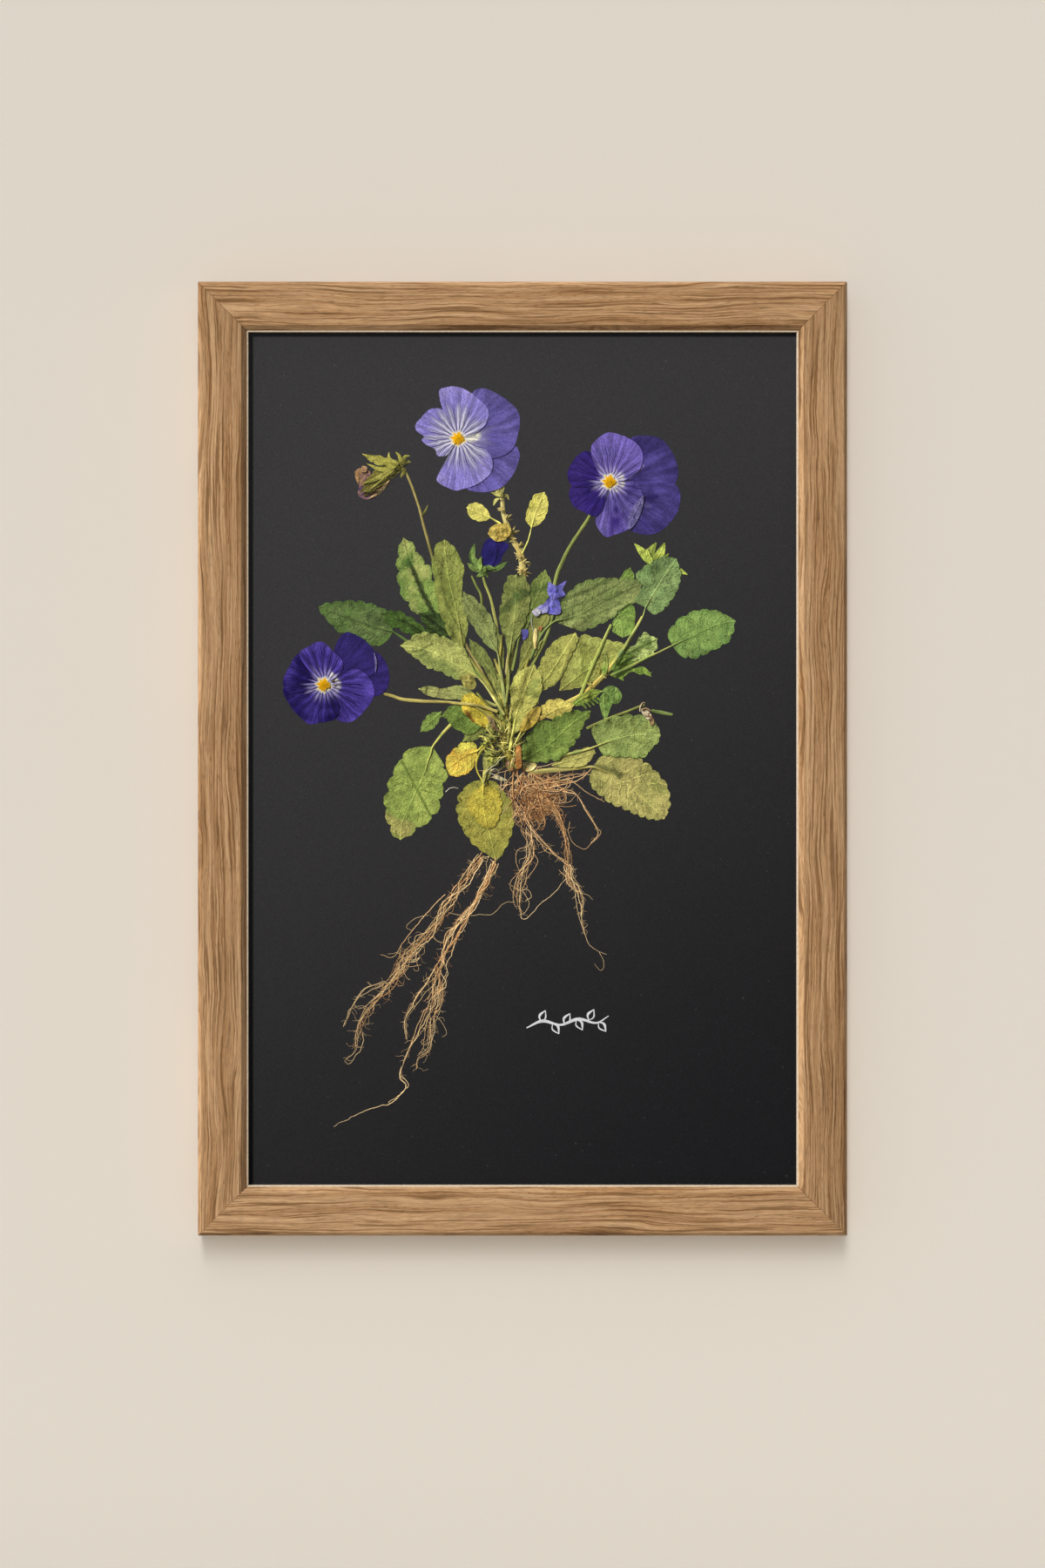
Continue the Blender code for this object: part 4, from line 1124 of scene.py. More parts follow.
def build_world():
    """A pale studio: brighter above and to the left, so that the glass carries a faint sheen there."""
    world = bpy.data.worlds.new("studio")
    bpy.context.scene.world = world
    world.use_nodes = True
    tree = world.node_tree
    glow = tree.nodes["Background"]
    plain = tree.nodes.new("ShaderNodeBackground")
    plain.inputs["Color"].default_value = tone(*STUDIO_SEEN)
    place = tree.nodes.new("ShaderNodeTexCoord")
    tilt = tree.nodes.new("ShaderNodeVectorMath")
    tilt.operation = "DOT_PRODUCT"
    tilt.inputs[1].default_value = STUDIO_SLANT
    level = tree.nodes.new("ShaderNodeMapRange")
    for end, point, light in zip(("Min", "Max"), STUDIO_SPAN, STUDIO_LIGHT):
        level.inputs["From " + end].default_value = point
        level.inputs["To " + end].default_value = light
    kind = tree.nodes.new("ShaderNodeLightPath")
    either = tree.nodes.new("ShaderNodeMixShader")
    tree.links.new(place.outputs["Generated"], tilt.inputs[0])
    tree.links.new(tilt.outputs["Value"], level.inputs["Value"])
    dimmed = tree.nodes.new("ShaderNodeMath")
    dimmed.operation = "MULTIPLY_ADD"
    dimmed.inputs[1].default_value = -STUDIO_DIMMED
    dimmed.inputs[2].default_value = 1.0
    strength = tree.nodes.new("ShaderNodeMath")
    strength.operation = "MULTIPLY"
    glow.inputs["Color"].default_value = (1.0, 1.0, 1.0, 1.0)
    tree.links.new(kind.outputs["Is Glossy Ray"], dimmed.inputs[0])
    tree.links.new(level.outputs["Result"], strength.inputs[0])
    tree.links.new(dimmed.outputs[0], strength.inputs[1])
    tree.links.new(strength.outputs[0], glow.inputs["Strength"])
    tree.links.new(kind.outputs["Is Camera Ray"], either.inputs[0])
    tree.links.new(glow.outputs[0], either.inputs[1])
    tree.links.new(plain.outputs[0], either.inputs[2])
    tree.links.new(either.outputs[0], tree.nodes["World Output"].inputs["Surface"])


def add_stage_plane(name, corners, material):
    """A plane that is there for the picture only."""
    mesh = bpy.data.meshes.new(name)
    mesh.from_pydata(corners, [], [(0, 1, 2, 3)])
    mesh.materials.append(material)
    plane = bpy.data.objects.new(name, mesh)
    bpy.context.scene.collection.objects.link(plane)
    return plane


def build_stage():
    """The wall behind the frame and the floor. The floor isn't mirrored in the glass."""
    half = STAGE_SIZE / 2
    floor_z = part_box("rail_bottom")[0].z - FLOOR_DROP
    wall_y = BACK_Y + WALL_GAP
    wall = add_stage_plane(
        "wall",
        [
            (-half, wall_y, floor_z), (half, wall_y, floor_z), (half, wall_y, floor_z + half),
            (-half, wall_y, floor_z + half),
        ],
        wall_finish(),
    )
    wall.visible_shadow = False
    floor = add_stage_plane(
        "floor",
        [(-half, -half, floor_z), (half, -half, floor_z), (half, half, floor_z), (-half, half, floor_z)],
        floor_finish(),
    )
    floor.visible_glossy = False
    floor.visible_transmission = False
    return [wall, floor]


# ---------------------------------------------------------------- small parts of the plant


def lance(
    piece, points, width, main, other, seed=1, finish="leaf", curl=0.15, rows=18, columns=7, peak=0.45,
):
    """A narrow pointed blade along a path, widest at peak."""
    path = smooth(points, rows)
    s = np.linspace(0.02, 1.0, rows)
    shape = np.sin(math.pi * s ** (math.log(0.5) / math.log(peak))) ** 0.8
    half = width / 2 * np.maximum(shape, 0.12)
    t = np.linspace(-1, 1, columns)
    grid = path[:, None] + sideways(path)[:, None] * (half[:, None] * t[None])[..., None]
    length = np.linalg.norm(np.diff(path, axis=0), axis=1).sum()
    relief = curl * mottle(grid, 2.5, seed) + 0.08 * np.abs(t)[None]
    tint = coat(grid, main, other, 4.0, seed)
    if finish == "stalk":
        along = np.broadcast_to((s * length)[:, None], grid.shape[:2])
        across = half[:, None] * t[None]
        vein = np.dstack([across, along, np.full(grid.shape[:2], 2.3 * seed)])
    else:
        vein = np.dstack(
            [
                np.full(grid.shape[:2], 0.1), np.full(grid.shape[:2], 0.1),
                half[:, None] * np.abs(t)[None] + 0.1,
            ]
        )
    lay(piece, grid, 0.16, relief, finish, tint, vein=vein, rounds=4)


def scrap(piece, outline, main, other, seed, crumple=0.35, finish="leaf", rows=12, columns=44, show=0.5):
    """A crumpled bit of leaf or petal inside a closed outline."""
    outline = np.array(outline, float)
    centre = outline.mean(axis=0)
    edge = smooth(np.vstack([outline, outline[:1]]), columns + 1)[:-1]
    s = np.linspace(0.06, 1.0, rows)
    ragged = 1 + 0.07 * (mottle(edge, 1.1, seed) - 0.5)
    grid = centre + (edge - centre)[None] * (s[:, None] * ragged[None])[..., None]
    away = grid - centre
    reach = np.linalg.norm(away, axis=-1)
    ray = np.dstack([away / np.maximum(reach, 1e-6)[..., None], reach + 14])
    relief = crumple * np.abs(
        mottle(grid, 2.4, seed) - 0.5
    ) * 2 + crumple * 0.4 * mottle(grid, 1.0, seed + 1)
    vein = np.dstack(
        [np.full(grid.shape[:2], 0.1), np.full(grid.shape[:2], 0.1), np.full(grid.shape[:2], 5.0)]
    )
    tint = coat(grid, main, other, 3.0, seed, share=0.8, alpha=show)
    lay(piece, grid, 0.14, relief, finish, tint, vein=vein, ray=ray, closed=True, rounds=4)


def comb(piece, start, heading, teeth, length, main, other, seed=1, fan=0.9):
    """A stipule cut into narrow teeth."""
    for k in range(teeth):
        share = k / max(teeth - 1, 1) - 0.5
        angle = heading + share * fan + CHANCE.normal(0, 0.08)
        reach = length * (1 - 0.5 * abs(share)) * CHANCE.uniform(0.8, 1.1)
        x, z = start[0] + CHANCE.normal(0, 0.25), start[1] + CHANCE.normal(0, 0.25)
        bend = angle + CHANCE.normal(0, 0.25)
        middle = (x + math.cos(angle) * reach * 0.5, z + math.sin(angle) * reach * 0.5)
        end = (middle[0] + math.cos(bend) * reach * 0.5, middle[1] + math.sin(bend) * reach * 0.5)
        lance(piece, [(x, z), middle, end], 0.75, main, other, seed + k, rows=9, columns=5)


# ---------------------------------------------------------------- roots

BALL_ROOTLETS = 70
OUTER_ROOTLETS = 14
NECK_ROOTLETS = 9  # at the top of the two left roots
# The darkest root colour is the colour of darker roots, and also painted shade in the ball's lowest layer
ROOT_DARK_AND_SHADE = tone(158, 110, 68)
ROOT_RED = tone(222, 170, 112)
ROOT_TAN = tone(242, 200, 144)
ROOT_PALE = tone(252, 220, 164)


def root_tint(colour):
    """The colour, a little lighter or darker by chance."""
    return (*(np.array(colour[:3]) * CHANCE.uniform(0.62, 1.22)), 1.0)


def hairs(piece, path, count, length, colour):
    """Rootlets that leave a path on both sides, curling as they dry."""
    ahead = np.gradient(path, axis=0)
    for _ in range(count):
        k = CHANCE.integers(1, len(path) - 1)
        heading = math.atan2(ahead[k, 1], ahead[k, 0]) + CHANCE.choice((-1, 1)) * CHANCE.uniform(0.2, 1.1)
        reach = (0.15 + 1.0 * CHANCE.uniform(0, 1) ** 2) * length
        curl = wander(path[k], heading, reach, HAIR_BEND, step=0.6)
        lift = CHANCE.uniform(0.0, 0.4)
        radii = [HAIR_RADIUS * CHANCE.uniform(0.7, 1.3), HAIR_RADIUS * 0.5]
        fibre(piece, curl, radii, root_tint(colour), lift, sides=4)


def strand(piece, points, radii, colour, wiggle=0.35, seed=1):
    """One root along its path, with small kinks."""
    length = np.linalg.norm(np.diff(np.array(points, float), axis=0), axis=1).sum()
    path = smooth(points, max(int(length / 0.8), 6))
    run = np.linspace(0, length, len(path))
    kink = (mottle(np.column_stack([run, run * 0]), 3.2, seed) - 0.5) * 2 * wiggle
    kink = kink + (mottle(np.column_stack([run, run * 0 + 4]), 1.3, seed) - 0.5) * wiggle
    path = path + sideways(path) * kink[:, None]
    rise = STRAND_LIFT * mottle(np.column_stack([run, run * 0 + 2]), 5.0, seed)
    fibre(piece, path, radii, root_tint(colour), rise)
    return path


def bundle(piece, points, spreads, strands, radius, colours, hair_count, hair_length=6.0, end_share=0.55):
    """Several roots that run together along a path, twining about each other."""
    length = np.linalg.norm(np.diff(np.array(points, float), axis=0), axis=1).sum()
    spine = smooth(points, int(length / 0.8))
    count = len(spine)
    run = np.linspace(0, length, count)
    spread = np.interp(np.linspace(0, 1, count), np.linspace(0, 1, len(spreads)), spreads)
    across = sideways(spine)
    for k in range(strands):
        seed = CHANCE.integers(1, 500)
        swing = (mottle(np.column_stack([run, run * 0]), 15.0, seed) - 0.5) * 2.3
        swing = swing + (mottle(np.column_stack([run, run * 0 + 3]), 5.0, seed) - 0.5) * 0.9
        swing = swing + (mottle(np.column_stack([run, run * 0 + 6]), 1.6, seed) - 0.5) * 0.22
        path = spine + across * (swing * spread * 0.62)[:, None]
        first = int(count * CHANCE.uniform(0.0, 0.06))
        last = count if k < 2 else int(count * CHANCE.uniform(end_share, 1.0))
        path = path[first:last]
        rise = 0.5 * mottle(np.column_stack([run, run * 0 + 8]), 6.0, seed)[first:last]
        thick = radius * CHANCE.uniform(0.5, 1.1)
        fibre(piece, path, [thick, thick * 0.9, thick * 0.55], root_tint(colours[k % len(colours)]), rise)
        hairs(piece, path, hair_count, hair_length, colours[k % len(colours)])


def tangle(piece, centre, radii, count, colours):
    """Roots that cross and loop in a loose ball, most of them streaming down to the right."""
    centre, radii = np.array(centre, float), np.array(radii, float)
    step = 0.8
    for k in range(count):
        start = CHANCE.normal(0, 0.45, 2)
        if np.linalg.norm(start) > 0.95:
            start = start / np.linalg.norm(start) * 0.9
        point = centre + start * radii
        angle = CHANCE.normal(-0.7, 0.8)
        turn = CHANCE.normal(0, 0.05)
        path = [point]
        for _ in range(int(CHANCE.uniform(10, 32))):
            turn = turn * 0.8 + CHANCE.normal(0, 0.06)
            inward = centre - point
            if np.linalg.norm(inward / radii) > 0.9:
                turn += 0.17 * math.sin(math.atan2(inward[1], inward[0]) - angle)
            angle += turn
            point = point + np.array([math.cos(angle), math.sin(angle)]) * step
            path.append(point)
        off = np.linalg.norm((np.array(path) - centre) / radii, axis=1)
        dome = 1.1 * np.clip(1 - off**2, 0, 1) * CHANCE.uniform(0.0, 1.0)
        thick = CHANCE.uniform(0.07, 0.19)
        fibre(piece, path, [thick, thick, thick * 0.6], root_tint(colours[k % len(colours)]), dome)


def lay_roots():
    """The ball of roots and the five long roots that leave it or the stem's foot."""
    ball = Piece("pressed_root_ball", "root_ball", slot="root")
    for centre, radii, count, colours in (
        # The lowest layer is mostly dark brown: painted shade in the gaps under the paler roots laid over it
        ((4, -19), (14, 12.5), 60, [ROOT_DARK_AND_SHADE, ROOT_DARK_AND_SHADE, ROOT_RED]),
        ((3, -18), (13.5, 12), 70, [ROOT_TAN, ROOT_RED, ROOT_DARK_AND_SHADE]),
        ((13, -13), (12, 6), 26, [ROOT_TAN, ROOT_RED]),
    ):
        tangle(ball, centre, radii, count, colours)
    for points in (
        [(-3, -4), (-2, -10), (2, -18), (4, -30)],
        [(0, -4), (3, -12), (10, -18), (13, -27)],
        [(-4, -5), (-5, -13), (-4, -22), (0, -33)],
        [(2, -5), (8, -10), (17, -13), (22, -17)],
    ):
        strand(ball, points, [0.45, 0.32, 0.2], ROOT_RED, seed=int(CHANCE.integers(1, 99)))
    for points in (
        [(8, -12), (17, -9.5), (26, -8), (33.5, -6.5)],
        [(6, -13), (16, -11.5), (27, -9), (36, -7.5)],
        [(10, -15), (20, -13), (30, -9.5), (35, -4)],
        [(12, -16), (21.5, -10.5), (34.5, -18), (41, -21.5)],
        [(9, -17), (17, -15.5), (25, -16.5), (31, -24), (37, -34), (39.5, -36.5), (35.5, -41.5),
         (30.5, -45), (25, -41.5), (23, -35.5), (24, -31.5)],
        [(20, -16.5), (27, -18), (32, -27), (37.5, -35), (38, -38), (34, -42)],
    ):
        path = strand(ball, points, [0.3, 0.24, 0.14], ROOT_TAN, seed=int(CHANCE.integers(1, 99)))
        hairs(ball, path, 7, 4.0, ROOT_TAN)

    for _ in range(BALL_ROOTLETS):
        start = (CHANCE.normal(2, 5.5), CHANCE.normal(-13, 5.5))
        heading = CHANCE.choice((-0.15, -0.9, -1.5, -2.2)) + CHANCE.normal(0, 0.25)
        path = wander(start, heading, CHANCE.uniform(8, 22), 0.13, step=0.7)
        fibre(
            ball, path, [0.17, 0.14, 0.07], root_tint(CHANCE.choice((ROOT_TAN, ROOT_PALE))), 0.15, sides=4,
        )

    right = Piece("pressed_root_right", "root_right", slot="root")
    for points, spreads, strands, radius, colours, hair_count, hair_length, end_share in (
        (
            [(10, -19), (19, -31), (22.5, -45), (22.5, -57)], [3.4, 3.4, 2.6, 4.2], 6, 0.22,
            [ROOT_TAN, ROOT_RED], 9, 5.0, 0.9,
        ),
        (
            [(1, -28), (5.5, -36.5), (12, -44), (17, -49.5), (21.5, -53.5), (24, -60)],
            [1.6, 2.2, 2.4, 3.0], 4, 0.2, [ROOT_TAN], 9, 5.0, 0.9,
        ),
        (
            [(21.5, -53), (23.5, -60), (28, -68), (29.5, -80), (31.5, -87.5)], [4.6, 4.2, 2.6, 1.0], 8,
            0.19, [ROOT_TAN, ROOT_PALE], 10, 6.0, 0.35,
        ),
    ):
        bundle(right, points, spreads, strands, radius, colours, hair_count, hair_length, end_share)
    for points, radii, colour, seed in (
        ([(28, -66.5), (32, -68), (35, -70.5)], [0.2, 0.1], ROOT_PALE, 3),
        ([(30.5, -84), (33, -92.5), (38, -96), (42, -98)], [0.2, 0.13, 0.08], ROOT_PALE, 8),
        ([(38, -96.5), (41, -103.5), (39, -105.5), (36, -102.5)], [0.13, 0.1, 0.07], ROOT_PALE, 4),
    ):
        strand(right, points, radii, colour, seed=seed)

    middle = Piece("pressed_root_centre", "root_centre", slot="root")
    bundle(
        middle, [(2, -34), (4.5, -42), (4, -49.5), (0, -57), (-2.5, -71), (-1, -79)],
        [4.0, 3.8, 3.8, 3.4, 1.6], 7, 0.19, [ROOT_TAN, ROOT_PALE, ROOT_TAN], 9, 7.0, end_share=0.75,
    )
    for points, radii, colour, seed in (
        ([(1, -54), (-4, -59), (-6, -64), (-3, -70), (-1, -76)], [0.16, 0.1], ROOT_TAN, 6),
        ([(0, -66), (3, -72), (1, -77), (-2, -78)], [0.16, 0.1], ROOT_PALE, 9),
        ([(2, -44), (-2.5, -46), (-3, -52), (-1, -57), (1.5, -60)], [0.16, 0.12], ROOT_TAN, 14),
        ([(5, -47), (7.5, -51), (5.5, -56), (2, -60), (0.5, -64)], [0.16, 0.1], ROOT_TAN, 15),
        ([(-4, -64), (-1, -66), (3, -65.5), (4.5, -69), (1.5, -71)], [0.18, 0.14], ROOT_PALE, 16),
        ([(-1, -79), (1, -80), (8.5, -73), (14.5, -68), (22.5, -59.5)], [0.14, 0.1], ROOT_PALE, 12),
    ):
        strand(middle, points, radii, colour, seed=seed)

    inner = Piece("pressed_root_left_inner", "root_left_inner", slot="root")
    for points, spreads, strands, radius, colours, hair_count, hair_length, end_share in (
        (
            [
                (-13, -50), (-19.5, -64.5), (-27, -77.5), (-35, -89), (-38.5, -99), (-42, -111),
                (-46.5, -122.5),
            ],
            [2.4, 2.6, 2.8, 4.2, 5.6, 6.4, 6.0], 12, 0.25, [ROOT_PALE, ROOT_TAN, ROOT_RED], 12, 6.5, 0.9,
        ),
        (
            [(-42, -105), (-47, -112), (-53.5, -121), (-58.5, -129.5), (-57.5, -140)], [4.0, 3.0, 2.6, 1.6],
            4, 0.22, [ROOT_PALE, ROOT_TAN], 9, 6.0, 0.7,
        ),
        (
            [(-42, -112), (-42, -124), (-45, -131), (-48, -144.5), (-53, -150), (-53.5, -155)],
            [4.4, 4.8, 3.8, 2.8, 1.4], 6, 0.19, [ROOT_PALE, ROOT_TAN], 12, 6.5, 0.6,
        ),
        (
            [(-46.5, -122.5), (-50.5, -133), (-56.5, -144), (-60, -154), (-61, -160)], [4.0, 3.0, 1.6, 0.7],
            4, 0.24, [ROOT_PALE, ROOT_TAN], 8, 6.0, 0.4,
        ),
    ):
        bundle(inner, points, spreads, strands, radius, colours, hair_count, hair_length, end_share)
    for points, radii, colour, seed, wiggle in (
        (
            [
                (-60, -154), (-61, -160), (-58.5, -163.5), (-61, -168), (-65, -171.5), (-77, -175.5),
                (-94.5, -183.5),
            ],
            [0.36, 0.28, 0.2, 0.12], ROOT_PALE, 21, 0.55,
        ),
        ([(-60.5, -158), (-57, -163), (-60.5, -167), (-67, -172)], [0.2, 0.12], ROOT_PALE, 23, 0.35),
        ([(-45, -88.5), (-42, -91.5), (-37, -92)], [0.18, 0.1], ROOT_PALE, 24, 0.35),
        ([(-43.5, -128.5), (-40, -132), (-38, -137.5), (-40, -139)], [0.16, 0.08], ROOT_PALE, 25, 0.35),
        (
            [(-37, -77), (-30, -78.5), (-21, -78), (-14.5, -77), (-9.5, -72.5), (-3.5, -71.5)], [0.13, 0.1],
            ROOT_PALE, 26, 0.35,
        ),
    ):
        strand(inner, points, radii, colour, seed=seed, wiggle=wiggle)

    outer = Piece("pressed_root_left_outer", "root_left_outer", slot="root")
    for points, spreads, strands, radius, colours, hair_count, hair_length, end_share in (
        (
            [(-20, -47), (-26, -56), (-32, -64.5), (-42, -82), (-55, -96), (-66.5, -111)],
            [2.8, 4.2, 4.8, 5.4, 5.8, 5.4], 11, 0.24, [ROOT_PALE, ROOT_RED, ROOT_TAN], 11, 7.0, 0.95,
        ),
        (
            [
                (-61, -103), (-67, -112), (-73, -119.5), (-80.5, -131), (-81.5, -137), (-84.5, -146),
                (-89, -150.5),
            ],
            [4.6, 5.2, 5.0, 4.4, 3.0, 1.4], 8, 0.19, [ROOT_PALE, ROOT_TAN, ROOT_RED], 12, 7.0, 0.55,
        ),
        (
            [(-67, -111), (-73, -113.5), (-79, -116), (-85, -124), (-89.5, -134)], [2.6, 2.6, 2.0, 0.8], 3,
            0.18, [ROOT_PALE], 9, 5.0, 0.7,
        ),
    ):
        bundle(outer, points, spreads, strands, radius, colours, hair_count, hair_length, end_share)
    for points, radii, colour, seed, wiggle in (
        (
            [(-38.5, -68), (-45, -74), (-52, -82), (-60, -92), (-65, -99), (-71, -98)], [0.24, 0.2, 0.1],
            ROOT_TAN, 31, 0.35,
        ),
        ([(-47, -78), (-54, -80), (-58, -84), (-55, -86)], [0.14, 0.08], ROOT_PALE, 32, 0.35),
        (
            [(-80, -137), (-79, -140.5), (-83, -148), (-87.5, -153), (-89, -151)], [0.24, 0.2, 0.12],
            ROOT_PALE, 33, 0.5,
        ),
    ):
        strand(outer, points, radii, colour, seed=seed, wiggle=wiggle)
    for k in range(OUTER_ROOTLETS):
        share = CHANCE.uniform(0.35, 1.0)
        start = (-40 - 27 * share + CHANCE.normal(0, 2.4), -78 - 36 * share + CHANCE.normal(0, 2.4))
        shade = root_tint((ROOT_PALE, ROOT_TAN)[k % 2])
        fibre(
            outer, wander(start, CHANCE.normal(-2.3, 0.5), CHANCE.uniform(6, 15), 0.3, step=0.6),
            [0.15, 0.08], shade, 0.15,
        )
    for _ in range(NECK_ROOTLETS):
        start = (CHANCE.uniform(-29, -12), CHANCE.uniform(-52, -47))
        fibre(
            outer, wander(start, CHANCE.uniform(2.6, 5.6), CHANCE.uniform(5, 11), 0.3, step=0.6),
            [0.16, 0.08], root_tint(ROOT_PALE), 0.1,
        )


# ---------------------------------------------------------------- leaves, stems and flowers, from the card up


def blade(name, slot, *shape, **look):
    """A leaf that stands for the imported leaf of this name."""
    leaf(Piece("pressed_" + name, name, slot=slot), *shape, **look)


def stem(name, *shape, slot="stalk", **look):
    """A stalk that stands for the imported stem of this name."""
    piece = Piece("pressed_" + name, name, slot=slot)
    stalk(piece, *shape, **look)
    return piece


def lay_lowest():
    """The stem and the leaf that lie on the card itself."""
    stem(
        "stem_of_wilted_flower",
        [
            (-59, 145), (-55.5, 137), (-51.5, 125), (-50, 119), (-46, 104.5), (-40, 82.5), (-30.5, 61),
            (-15, 35),
        ],
        [1.3, 1.5, 1.7, 1.7], tone(188, 170, 104), tone(150, 142, 78), seed=3,
    )
    wilted = Piece.made["pressed_stem_of_wilted_flower"]
    lance(
        wilted, [(-50.5, 121), (-48.8, 123.5), (-47.4, 127)], 1.1, tone(182, 170, 100), tone(128, 126, 60),
        2,
    )
    blade(
        "leaf_right_brownish", "leaf_olive", (18.5, 34), (55, 53.5),
        [(20.5, 46), (29, 62), (36.5, 61), (43.5, 59.5), (51.5, 57.5)], [(29, 35.5), (39, 40), (48.5, 47)],
        tone(196, 202, 106), tone(168, 166, 86), mid=[(31, 43.5), (44, 51)], teeth=9, seed=4, bite=0.7,
        marks=[
            ([(30, 56), (31.5, 45), (28, 38)], 3.0, tone(138, 144, 66), 0.7),
            ([(44, 56), (38, 44)], 2.2, tone(150, 146, 74), 0.5),
        ],
    )


def lay_top_shoot():
    """The yellow stem under the top flower, with its stipules and small leaves."""
    straw, honey = tone(236, 222, 144), tone(220, 192, 108)
    shoot = stem(
        "stem_of_top_flower",
        [
            (-12.5, 136), (-10.5, 131), (-9.5, 123), (-5.5, 111), (-0.5, 101), (0, 92), (-1.5, 74),
            (-5.5, 56.5), (-7.5, 41.5),
        ],
        [2.0, 2.4, 3.2, 3.4, 3.2, 3.0], straw, honey, seed=5,
    )
    for place, heading in (((-9.6, 124), 2.6), ((-8.5, 120), 0.5), ((-6.8, 116), 2.7), ((-5.5, 113), 0.3),
                           ((-3.6, 109.5), 2.8), ((-2.5, 106), 0.2), ((-0.8, 101), 2.9), ((0, 98), 0.1),
                           ((0.2, 94.5), 3.3), ((0.2, 93), 0.0)):
        comb(shoot, place, heading, 4, 4.6, straw, honey, seed=int(CHANCE.integers(1, 90)), fan=1.2)
    green = tone(222, 214, 118)
    for points, wide in (
        ([(-11.5, 131), (-15, 133.5), (-17.5, 133.8)], 2.0),
        ([(-11.5, 131), (-13.5, 136), (-16, 139)], 1.9), ([(-11.3, 131), (-10, 135), (-9.5, 138.5)], 2.0),
        ([(-11.2, 130), (-8, 131.5), (-6.8, 129.5)], 1.7),
        ([(-11.5, 130), (-13.5, 129), (-14.5, 126.5)], 1.6),
    ):
        lance(shoot, points, wide, green, tone(214, 206, 120), seed=int(CHANCE.integers(1, 90)))
    lemon, brass = tone(250, 238, 124), tone(226, 216, 102)
    leaf(
        shoot, (-16, 120.5), (-28, 125.5), [(-17.5, 124.5), (-22, 128), (-26, 127.8)],
        [(-19, 118.6), (-23.5, 118.8), (-27, 121.5)], lemon, brass, mid=[(-21, 122.6)],
        petiole=[(-11, 117.5)], teeth=4, bite=0.5, seed=6, rows=34, columns=15, width=1.0,
    )
    leaf(
        shoot, (4.5, 115.5), (11, 133.3), [(1.4, 119.5), (2.8, 126.3), (6, 132.2)],
        [(9.5, 117.8), (12.6, 123.5), (12.8, 129.5)], lemon, brass, mid=[(6.8, 123.5)],
        petiole=[(3, 109.5), (0, 102.5)], teeth=5, bite=0.5, seed=7, rows=40, columns=17, width=0.9,
    )


def lay_buds():
    """The dark purple bud and the green one, each on its stem."""
    bud_stem = stem("stem_of_bud", [(-20, 92.5), (-18.5, 87), (-16, 80.5), (-13, 65.5), (-10.5, 39.5)],
                    [1.3, 1.6, 1.8, 1.8], tone(184, 182, 100), tone(142, 152, 76), seed=8)
    stalk(
        bud_stem, [(-25.3, 91.5), (-23, 86.5), (-20.8, 82), (-20.3, 75)], [1.0, 1.2, 1.2],
        tone(162, 170, 88), tone(130, 142, 70), seed=9, deep=0.5,
    )
    bud = Piece("pressed_bud_purple", "bud_purple", slot="petal_dark")
    fresh, deep_green = tone(134, 162, 84), tone(84, 112, 56)
    lance(bud, [(-23, 96), (-25.2, 101), (-24, 107.5)], 3.2, fresh, deep_green, 3)
    lance(bud, [(-17, 94), (-12, 95.5), (-7.5, 98.5)], 2.6, fresh, deep_green, 4)
    throat = (-19.5, 95.5)
    petal(
        bud, "petal_dark", throat,
        [
            (-20.8, 98), (-20.5, 104), (-18, 109.5), (-13, 109.8), (-6.8, 106.8), (-9.8, 102), (-11.5, 98),
            (-15.5, 95.5),
        ],
        tone(44, 36, 108), tone(30, 24, 78), 3, show=0.0, rows=24, columns=34, beyond=22,
    )
    petal(
        bud, "petal_dark", throat,
        [(-21, 97.5), (-20.3, 103), (-17.5, 107.8), (-13.5, 107), (-13, 101), (-15.5, 96)],
        tone(50, 42, 122), tone(36, 30, 94), 5, show=0.0, rows=20, columns=26, beyond=22,
    )
    for points, wide in (
        ([(-19, 95), (-23.5, 98.5), (-25.5, 103)], 3.0), ([(-19, 95), (-24, 95), (-27.6, 97.8)], 3.0),
        ([(-19, 95.5), (-20.5, 92.5), (-23, 91)], 2.8), ([(-20, 94.5), (-17, 95.5), (-13.8, 95)], 2.6),
        ([(-20.5, 94), (-18, 92), (-17.3, 90.5)], 2.4), ([(-21, 94), (-21.5, 98), (-20.4, 101)], 2.4),
    ):
        lance(bud, points, wide, tone(150, 172, 84), fresh, seed=int(CHANCE.integers(1, 90)), curl=0.35)

    green_bud = Piece("pressed_bud_green", "bud_green", slot="leaf_light")
    lime, pale = tone(206, 218, 100), tone(160, 182, 76)
    for points, wide in (
        ([(64, 97), (60.5, 102.5), (56, 107.5)], 4.0), ([(64, 97), (64, 103), (66.8, 108)], 4.2),
        ([(65, 97), (68.5, 102), (71.2, 108)], 4.4), ([(65, 97), (62.5, 101), (62.3, 105)], 3.4),
        ([(70, 95), (77, 94.5), (82.5, 92)], 3.2), ([(66, 96), (70, 99.5), (73, 102.5)], 3.0),
    ):
        lance(
            green_bud, points, wide, lime, pale, seed=int(CHANCE.integers(1, 90)), curl=0.4, rows=22,
            columns=9,
        )


